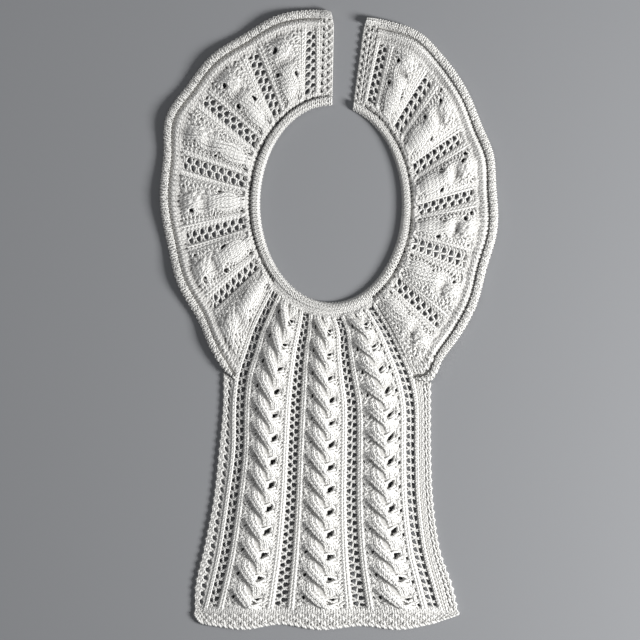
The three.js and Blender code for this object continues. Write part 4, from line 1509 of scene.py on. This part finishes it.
def cut_corner(side, stitch, row):
    """Moves the outer corner of a back border in, where the real one is rounded."""
    outward = -1 if side == "left" else 1
    from_edge = (BACK_AT[side] * REPEAT_STITCHES - stitch) * outward
    share = np.clip((row - CORNER_FIRST_ROW) / CORNER_ROWS, 0, 1) ** 2
    return stitch - outward * CORNER_INSET[side] * share * np.clip(1 - from_edge / CORNER_STITCHES, 0, 1)


def knit_back_border(side, first, last):
    """The border at one side of the back opening, between two places counted in stitches."""
    seam_at = WING_FIRST_AT if side == "left" else WING_LAST_AT

    def point_at(stitch, row):
        return wing_point(side, cut_corner(side, stitch, row) / REPEAT_STITCHES, row)

    def lift_at(stitch, row):
        share = (stitch / REPEAT_STITCHES - BACK_AT[side]) / (seam_at - BACK_AT[side])
        return wing_lift(side, np.full(len(stitch), seam_at), row) * np.clip(share, 0, 1)

    stitches = plain_stitches(first, last, BACK_BORDER_STITCHES)
    rows = [knit_row(stitches, j, seed_face) for j in range(WING_ROWS)]
    columns = np.linspace(first, last, BORDER_LINES)
    holes = dashes(BACK_DASHES[side], 1, WING_ROWS - 1)
    knit_plain(f"back_border_{side}", rows, point_at, lift_at, BORDER_YARN,
               columns, ground_rows(0, WING_ROWS), holes)


knit_back_border("left", BACK_AT["left"] * REPEAT_STITCHES, WING_FIRST_AT * REPEAT_STITCHES - BACK_SEAM)
knit_back_border("right", WING_LAST_AT * REPEAT_STITCHES + BACK_SEAM, BACK_AT["right"] * REPEAT_STITCHES)

# %% The jabot's borders
BORDER_STITCHES = 3
BORDER_SEAM_ROWS = 0.3
BORDER_DASHES = {
    "left": [(1.9, 0.4, 0.65, 0.75, -0.5)],
    "right": [(1.7, 0.4, 0.55, 0.65, -0.4)],
}
# The outer edge bulges out and in with every other row, from this part of the border's width on.
EDGE_WAVE = {"left": 0.22, "right": 0.2}
EDGE_WAVE_START = 0.7


def border_face(stitch, row_index):
    """The jabot's borders: only the middle stitch changes, so it makes a column of small dashes."""
    return PURL if stitch["wale"] == 1 and row_index % 2 == 0 else KNIT


def flat_lift(stitch, row):
    return np.zeros(len(stitch))


def knit_jabot_border(side):
    """The border down one side of the jabot, from the wing's lower corner to the hem."""
    def point_at(place, row):
        share = place / BORDER_STITCHES
        out = 1 - share if side == "left" else share
        wave = EDGE_WAVE[side] * np.clip(out - EDGE_WAVE_START, 0, None) * (np.cos(np.pi * row) - 1)
        return jabot_border_point(side, out + wave, row)

    stitches = plain_stitches(0, BORDER_STITCHES, BORDER_STITCHES)
    rows = [knit_row(stitches, j, border_face) for j in range(WING_ROWS + 1, JABOT_ROWS)]
    columns = np.linspace(0, BORDER_STITCHES, BORDER_LINES)
    holes = dashes(BORDER_DASHES[side], WING_ROWS + 2, JABOT_ROWS - 1)
    knit_plain(f"jabot_border_{side}", rows, point_at, flat_lift, BORDER_YARN,
               columns, ground_rows(WING_ROWS + BORDER_SEAM_ROWS, JABOT_ROWS), holes)


knit_jabot_border("left")
knit_jabot_border("right")

# %% The hem
HEM_ROWS = 4
HEM_STITCHES = 56
HEM_YARN = 1.35
HEM_LINES = 101
CHAIN_ROW = 3.5
CHAIN_SWING = 0.22
CHAIN_PITCH = 2.0
CHAIN_STEPS = 12
CHAIN_YARN = 1.2


def hem_at(stitch, row):
    return hem_point(stitch / REPEAT_STITCHES, row / HEM_ROWS)


def hem_lift(stitch, row):
    return jabot_lift_at(stitch, np.full(len(stitch), float(JABOT_ROWS))) * (1 - row / HEM_ROWS)


def cast_off_chain(first, last):
    """The chain along the cast-off edge: two plies of yarn twisted round each other."""
    stitch = np.arange(first, last, CHAIN_PITCH / CHAIN_STEPS)
    thickness = np.full(len(stitch), CHAIN_YARN)
    plies = []
    for phase in (0, np.pi):
        turn = 2 * np.pi * stitch / CHAIN_PITCH + phase
        rows = CHAIN_ROW + CHAIN_SWING * np.cos(turn)
        plies.append(np.stack([stitch, rows, -LOOP_DEPTH * np.sin(turn), thickness]))
    return plies


def knit_hem(first, last):
    """The hem's rows and its cast-off chain, between two places counted in stitches."""
    stitches = plain_stitches(first, last, HEM_STITCHES)
    rows = [knit_row(stitches, j, seed_face) for j in range(HEM_ROWS - 1)]
    columns = np.linspace(first, last, HEM_LINES)
    knit_plain("jabot_hem", rows + cast_off_chain(first, last), hem_at, hem_lift, HEM_YARN,
               columns, ground_rows(0, CHAIN_ROW), [])


knit_hem(HEM_DEPTH["at"][0] * REPEAT_STITCHES, HEM_DEPTH["at"][-1] * REPEAT_STITCHES)

# %% [markdown]
# ## The neck band and the outer edging
#
# The neck edge and the outer edge are fine knitting, rolled into a cord with a round back and a flat
# foot. A bevelled curve would be a smooth pipe, so rows of fine loops are wrapped over the back. A
# core of the same section lies inside, so that the cord isn't hollow between its loops: a bmesh grid
# rolled up, with its seam merged and its ends filled. The cords look a little wider than their
# solids, because they also cover the places of the rows that the wings don't knit.

# %% The section of a cord
# The yarn's thickness, how far inside the section its middle runs, the least height that it counts as
# when it gets its painted shade, how much of a loop's depth is left on a cord, the share of the half
# turn that each foot leaves out, and the least half width, all lengths in millimetres.
CORD_YARN = 0.76
CORD_INSET = 0.75
CORD_LEAST_SHADE_HEIGHT = 1.8
CORD_DEPTH_SHARE = 0.8
CORD_FOOT = 0.02
NARROWEST_CORD = 0.1
# How a cord falls on its inner and its outer side: round, or squarely where it meets the cloth.
ROUND_FALL = 0.5
SQUARE_FALL = 0.05


def cord_place(cord, at, share, out):
    """How far over and up a cord's round back lies, share 0 at its inner foot and 1 at its outer."""
    half = cord["width_at"](at) / 2
    turn = np.pi * np.clip(share, CORD_FOOT, 1 - CORD_FOOT)
    fall = np.where(share > 0.5, cord["falls"][1], cord["falls"][0])
    over = half - (np.maximum(half - CORD_INSET, NARROWEST_CORD) + out) * np.cos(turn)
    up = (cord["height"] - CORD_INSET + out) * np.sin(turn) ** fall
    return over, np.maximum(up, CORD_INSET / 2)


def cord_yarn(cord):
    """Rows of fine knitting wrapped over a cord's back."""
    first, last = cord["first_at"] * REPEAT_STITCHES, cord["last_at"] * REPEAT_STITCHES
    stitches = plain_stitches(first, last, cord["stitches"])
    width = stitches[0]["width"] / REPEAT_STITCHES
    holes = dash_line(
        cord["dashes"], stitches[0]["place"] / REPEAT_STITCHES, stitches[-1]["place"] / REPEAT_STITCHES)
    rows = [pushed_aside(knit_row(stitches, j, chart_face), holes) for j in range(cord["rows"])]
    stitch, row, out, _ = np.concatenate(rows, 1)
    at = stitch / REPEAT_STITCHES
    over, up = cord_place(cord, at, row / cord["rows"], out * CORD_DEPTH_SHARE)
    here = cord["point_at"](at, over)
    beside = cord["point_at"](at + width, over)
    radius = CORD_YARN * yarn_radius(here, beside)
    points = np.column_stack([here, up + cord["lift_at"](at)])
    cuts = np.cumsum([line.shape[1] for line in rows])[:-1]
    lines, radii, shade_heights = (np.split(part, cuts) for part in (points, radius, np.maximum(up, CORD_LEAST_SHADE_HEIGHT)))
    return yarn_piece(f"{cord['node']}_yarn", lines, radii, shade_heights)


# %% The core of a cord
# The points of a section, how far it lies inside the yarn, how high its two feet lie, and how near
# two points must be to be merged.
CORE_POINTS = 12
CORE_INSET = 0.4
CORE_FOOT = 0.2
SEAM_MERGED = 1e-7


def cord_core(cord):
    """A closed round-backed core under a cord's loops."""
    def place_at(at, k):
        foot = (k == 0) | (k == CORE_POINTS - 1)
        over, up = cord_place(cord, at, k / (CORE_POINTS - 1), np.full(len(at), -CORE_INSET))
        up = np.where(foot, CORE_FOOT, up) + cord["lift_at"](at)
        return np.column_stack([cord["point_at"](at, over), up])

    places = np.linspace(cord["first_at"], cord["last_at"], cord["stitches"])
    shape = grid_shape(places, np.arange(CORE_POINTS + 1) % CORE_POINTS, place_at)
    bmesh.ops.remove_doubles(shape, verts=shape.verts, dist=SEAM_MERGED)
    bmesh.ops.holes_fill(shape, edges=shape.edges, sides=CORE_POINTS)
    bmesh.ops.recalc_face_normals(shape, faces=shape.faces)
    return shaped_piece(f"{cord['node']}_core", shape)


def make_cord(cord):
    """A cord's yarn and core."""
    yarn = cord_yarn(cord)
    PIECES[cord["node"]] = [yarn]
    GROUNDS[cord["node"]] = cord_core(cord)
    report(yarn, cord["node"])


# %% The neck band
BAND_LOOK_WIDTH = 7.6

make_cord({
    "node": "neck_band", "first_at": BACK_AT["left"], "last_at": BACK_AT["right"],
    "stitches": 150, "rows": 3, "height": BAND_HEIGHT, "falls": (ROUND_FALL, SQUARE_FALL),
    "dashes": named(DASH_COLUMNS, [(1.3, 2.1, 0.3, 0.16)]),
    "width_at": lambda at: np.full(len(at), BAND_LOOK_WIDTH),
    "lift_at": lambda at: np.zeros(len(at)),
    "point_at": band_point,
})

# %% The outer edging
EDGING_LOOK_SHARE = 1.36
ROW_LENGTH = 2.85


def edging_look_width(side, at):
    return EDGING_LOOK_SHARE * edging_width(side, at)


def make_edging(side, first_at, last_at):
    """The edging of one wing, with the rounded corner that its back border has."""
    def point_at(at, along):
        inward = edging_look_width(side, at) - edging_width(side, at)
        row = WING_ROWS + (along - inward) / ROW_LENGTH
        at = cut_corner(side, at * REPEAT_STITCHES, row) / REPEAT_STITCHES
        length = wing_lines(side, at)[2]
        return wing_line_point(side, at, length - edging_look_width(side, at) + along)

    make_cord({
        "node": f"outer_edging_{side}", "first_at": first_at, "last_at": last_at,
        "stitches": 100, "rows": 4, "height": EDGING_HEIGHT, "falls": (SQUARE_FALL, ROUND_FALL),
        "dashes": named(DASH_COLUMNS, [(1.15, 1.9, 0.35, 0.2), (2.35, 1.7, 0.5, 0.24)]),
        "width_at": lambda at: edging_look_width(side, at),
        "lift_at": edging_lift,
        "point_at": point_at,
    })


make_edging("left", BACK_AT["left"], SIDE_AT["left"])
make_edging("right", SIDE_AT["right"], BACK_AT["right"])

# %% [markdown]
# ## White cotton
#
# The yarn is matte white cotton of two plies. Their twist shows as slanting grooves, which one node
# group works out from the yarn's own map, and fine fibres make it rough. A picture of cotton would
# repeat and blur up close, so both are procedural. The group gives heights only; the shader stays
# in the material.

# %% The twist of the plies
PLY_PITCH = 4.0


def math_node(nodes, operation, second=None):
    """A Math node, with its second number where it has a fixed one."""
    node = nodes.new("ShaderNodeMath")
    node.operation = operation
    if second is not None:
        node.inputs[1].default_value = second
    return node


def make_twist_group():
    """Grooves between a yarn's plies, from the length along the yarn and the turn round it."""
    tree = bpy.data.node_groups.new("yarn twist", "ShaderNodeTree")
    tree.interface.new_socket(name="Plies map", in_out="INPUT", socket_type="NodeSocketVector")
    pitch = tree.interface.new_socket(name="Pitch", in_out="INPUT", socket_type="NodeSocketFloat")
    pitch.default_value = PLY_PITCH
    tree.interface.new_socket(name="Height", in_out="OUTPUT", socket_type="NodeSocketFloat")
    nodes, links = tree.nodes, tree.links
    start, end = nodes.new("NodeGroupInput"), nodes.new("NodeGroupOutput")
    split = nodes.new("ShaderNodeSeparateXYZ")
    turns = math_node(nodes, "DIVIDE")
    both = math_node(nodes, "ADD")
    angle = math_node(nodes, "MULTIPLY", 2 * math.pi)
    wave = math_node(nodes, "SINE")
    groove = math_node(nodes, "ABSOLUTE")
    links.new(start.outputs["Plies map"], split.inputs[0])
    links.new(split.outputs["X"], turns.inputs[0])
    links.new(start.outputs["Pitch"], turns.inputs[1])
    links.new(split.outputs["Y"], both.inputs[1])
    for before, after in ((turns, both), (both, angle), (angle, wave), (wave, groove), (groove, end)):
        links.new(before.outputs[0], after.inputs[0])
    return tree


TWIST = make_twist_group()
print("nodes of the twist:", len(TWIST.nodes))

# %% [markdown]
# ## Painted depth shade and fibres
#
# Yarn that lies deep between the loops of real cotton gets little light, and looks greyer. The lamp
# alone would need far more rows of yarn behind the first to show that. So the shade is painted: each
# yarn's third map holds its height in the cloth, and a colour ramp from grey to white reads it. This
# painted shade stays the same under any lamp and from every side.

# %% Cotton
# The heights in the cloth, in millimetres, at which the yarn's painted shade is darkest and at which the
# yarn is white.
# The fibres and the grooves of the plies are in metres, as the shader takes them.
SHADED_HEIGHT = 0.0
CLEAR_HEIGHT = 2.4
FIBRES_SCALE = 2500
FIBRES_DEPTH = 0.00012
PLY_DEPTH = 0.0003


def bump_node(nodes, depth, strength):
    """A Bump node with its depth in metres."""
    bump = nodes.new("ShaderNodeBump")
    bump.inputs["Distance"].default_value = depth
    bump.inputs["Strength"].default_value = strength
    return bump


def map_node(nodes, name):
    """A node that reads one of a piece's own maps."""
    node = nodes.new("ShaderNodeUVMap")
    node.uv_map = name
    return node


def add_painted_depth_shade(tree, shader, painted_shade_colour, colour):
    """Paints shade: makes the cotton greyer where the Height map says that it lies deep."""
    nodes, links = tree.nodes, tree.links
    parts = nodes.new("ShaderNodeSeparateXYZ")
    share = nodes.new("ShaderNodeMapRange")
    share.interpolation_type = "SMOOTHSTEP"
    share.inputs["From Min"].default_value = SHADED_HEIGHT
    share.inputs["From Max"].default_value = CLEAR_HEIGHT
    shade_mix = nodes.new("ShaderNodeMix")
    shade_mix.data_type = "RGBA"
    shade_mix.inputs["A"].default_value = (*painted_shade_colour, 1)
    shade_mix.inputs["B"].default_value = (*colour, 1)
    links.new(map_node(nodes, "Height").outputs["UV"], parts.inputs[0])
    links.new(parts.outputs["X"], share.inputs["Value"])
    links.new(share.outputs["Result"], shade_mix.inputs["Factor"])
    links.new(shade_mix.outputs["Result"], shader.inputs["Base Color"])


def add_twist(tree, fibres_bump):
    """Puts the grooves between the plies under the fibres."""
    nodes, links = tree.nodes, tree.links
    twist = nodes.new("ShaderNodeGroup")
    twist.node_tree = TWIST
    grooves = bump_node(nodes, PLY_DEPTH, 0.8)
    links.new(map_node(nodes, "Plies").outputs["UV"], twist.inputs["Plies map"])
    links.new(twist.outputs["Height"], grooves.inputs["Height"])
    links.new(grooves.outputs["Normal"], fibres_bump.inputs["Normal"])


def cotton(name, colour, painted_shade_colour=None):
    """Matte white cotton. With a painted shade colour it is yarn, greyer with painted shade where it lies
    deep, and with its plies.
    """
    material = bpy.data.materials.new(name)
    material.use_nodes = True
    tree = material.node_tree
    shader = tree.nodes["Principled BSDF"]
    shader.inputs["Base Color"].default_value = (*colour, 1)
    shader.inputs["Roughness"].default_value = 0.92
    shader.inputs["Specular IOR Level"].default_value = 0.2
    shader.inputs["Sheen Weight"].default_value = 0.2
    place = tree.nodes.new("ShaderNodeTexCoord")
    fibres = tree.nodes.new("ShaderNodeTexNoise")
    fibres.inputs["Scale"].default_value = FIBRES_SCALE
    fibres.inputs["Detail"].default_value = 2
    bump = bump_node(tree.nodes, FIBRES_DEPTH, 0.6)
    tree.links.new(place.outputs["Object"], fibres.inputs["Vector"])
    tree.links.new(fibres.outputs["Fac"], bump.inputs["Height"])
    tree.links.new(bump.outputs["Normal"], shader.inputs["Normal"])
    if painted_shade_colour:
        add_painted_depth_shade(tree, shader, painted_shade_colour, colour)
        add_twist(tree, bump)
    return material


# The yarn's second, grey colour is painted shade for where it lies deep between the loops.
YARN_MATERIAL = cotton("white cotton yarn", (0.84, 0.83, 0.80), (0.48, 0.47, 0.45))
# The fluff stands for cotton fluff in the gaps; its grey, darker than the yarn, is painted shade.
GROUND_MATERIAL = cotton("cotton fluff in painted shade", (0.62, 0.61, 0.585))
for material in (YARN_MATERIAL, GROUND_MATERIAL):
    print(f"{material.name}: {len(material.node_tree.nodes)} nodes")

# %% [markdown]
# ## Who stands for what
#
# Each piece replaces the CAD solid of its zone and rides the one root body.
# The solids could have stayed under the yarn, but they would close the eyelets. The yarn and the
# ground of a zone are two pieces, so that each has its own material.

# %% Pieces, slots and materials
for node, yarns in PIECES.items():
    for piece in (*yarns, GROUNDS[node]):
        piece.data.materials.append(YARN_MATERIAL if piece in yarns else GROUND_MATERIAL)
        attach(piece, "root")
        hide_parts(node)
print("pieces:", sum(len(yarns) + 1 for yarns in PIECES.values()))

# %% [markdown]
# ## The floor
#
# The photograph has no surface of its own to copy. A plain pale grey floor shows the shadows that
# the knitting casts, and is dark enough for white yarn to stand out against it.

# %% Floor
FLOOR_HALF = 3.0
floor_shape = bmesh.new()
bmesh.ops.create_grid(floor_shape, x_segments=1, y_segments=1, size=FLOOR_HALF)
floor = shaped_piece("floor", floor_shape)
floor_material = bpy.data.materials.new("pale floor")
floor_material.use_nodes = True
floor_shader = floor_material.node_tree.nodes["Principled BSDF"]
floor_shader.inputs["Base Color"].default_value = (0.27, 0.275, 0.285, 1)
floor_shader.inputs["Roughness"].default_value = 0.9
floor.data.materials.append(floor_material)

# %% [markdown]
# ## Light and camera
#
# The photograph looks straight down, with the light low from the right, so that every loop and cable
# has a bright and a dark side. One large lamp there does the same, and a weak one across from it
# and a dim world keep the shadows open. A sun lamp would make them too hard. The camera stands high
# with a long lens, which shows the collar without perspective. The view transform is Standard,
# because the usual one would turn white yarn grey.

# %% Light
world = bpy.data.worlds.new("studio")
bpy.context.scene.world = world
world.use_nodes = True
world.node_tree.nodes["Background"].inputs["Color"].default_value = (0.9, 0.93, 1, 1)
world.node_tree.nodes["Background"].inputs["Strength"].default_value = 0.13

LAMPS = {
    "key light": {"place": (1.4, -0.35, 0.74), "size": 0.5, "power": 46.5},
    "fill light": {"place": (-1.0, 0.9, 1.4), "size": 1.2, "power": 6},
}
for name, row in LAMPS.items():
    light = bpy.data.lights.new(name, "AREA")
    light.size = row["size"]
    light.energy = row["power"]
    lamp = bpy.data.objects.new(name, light)
    lamp.location = row["place"]
    lamp.rotation_euler = (-mathutils.Vector(row["place"])).to_track_quat("-Z", "Y").to_euler()
    bpy.context.scene.collection.objects.link(lamp)
bpy.context.scene.view_settings.view_transform = "Standard"
print("lamps:", list(LAMPS))

# %% Camera
CAMERA_HEIGHT = 2.0
VIEW_WIDTH = 0.48
VIEW_MIDDLE = (-0.00675, -0.000375)
SENSOR_WIDTH = 36
camera_data = bpy.data.cameras.new("camera")
camera_data.sensor_width = SENSOR_WIDTH
camera_data.lens = SENSOR_WIDTH * CAMERA_HEIGHT / VIEW_WIDTH
camera = bpy.data.objects.new("camera", camera_data)
camera.location = (*VIEW_MIDDLE, CAMERA_HEIGHT)
bpy.context.scene.collection.objects.link(camera)
bpy.context.scene.camera = camera
print("lens in mm:", camera_data.lens)
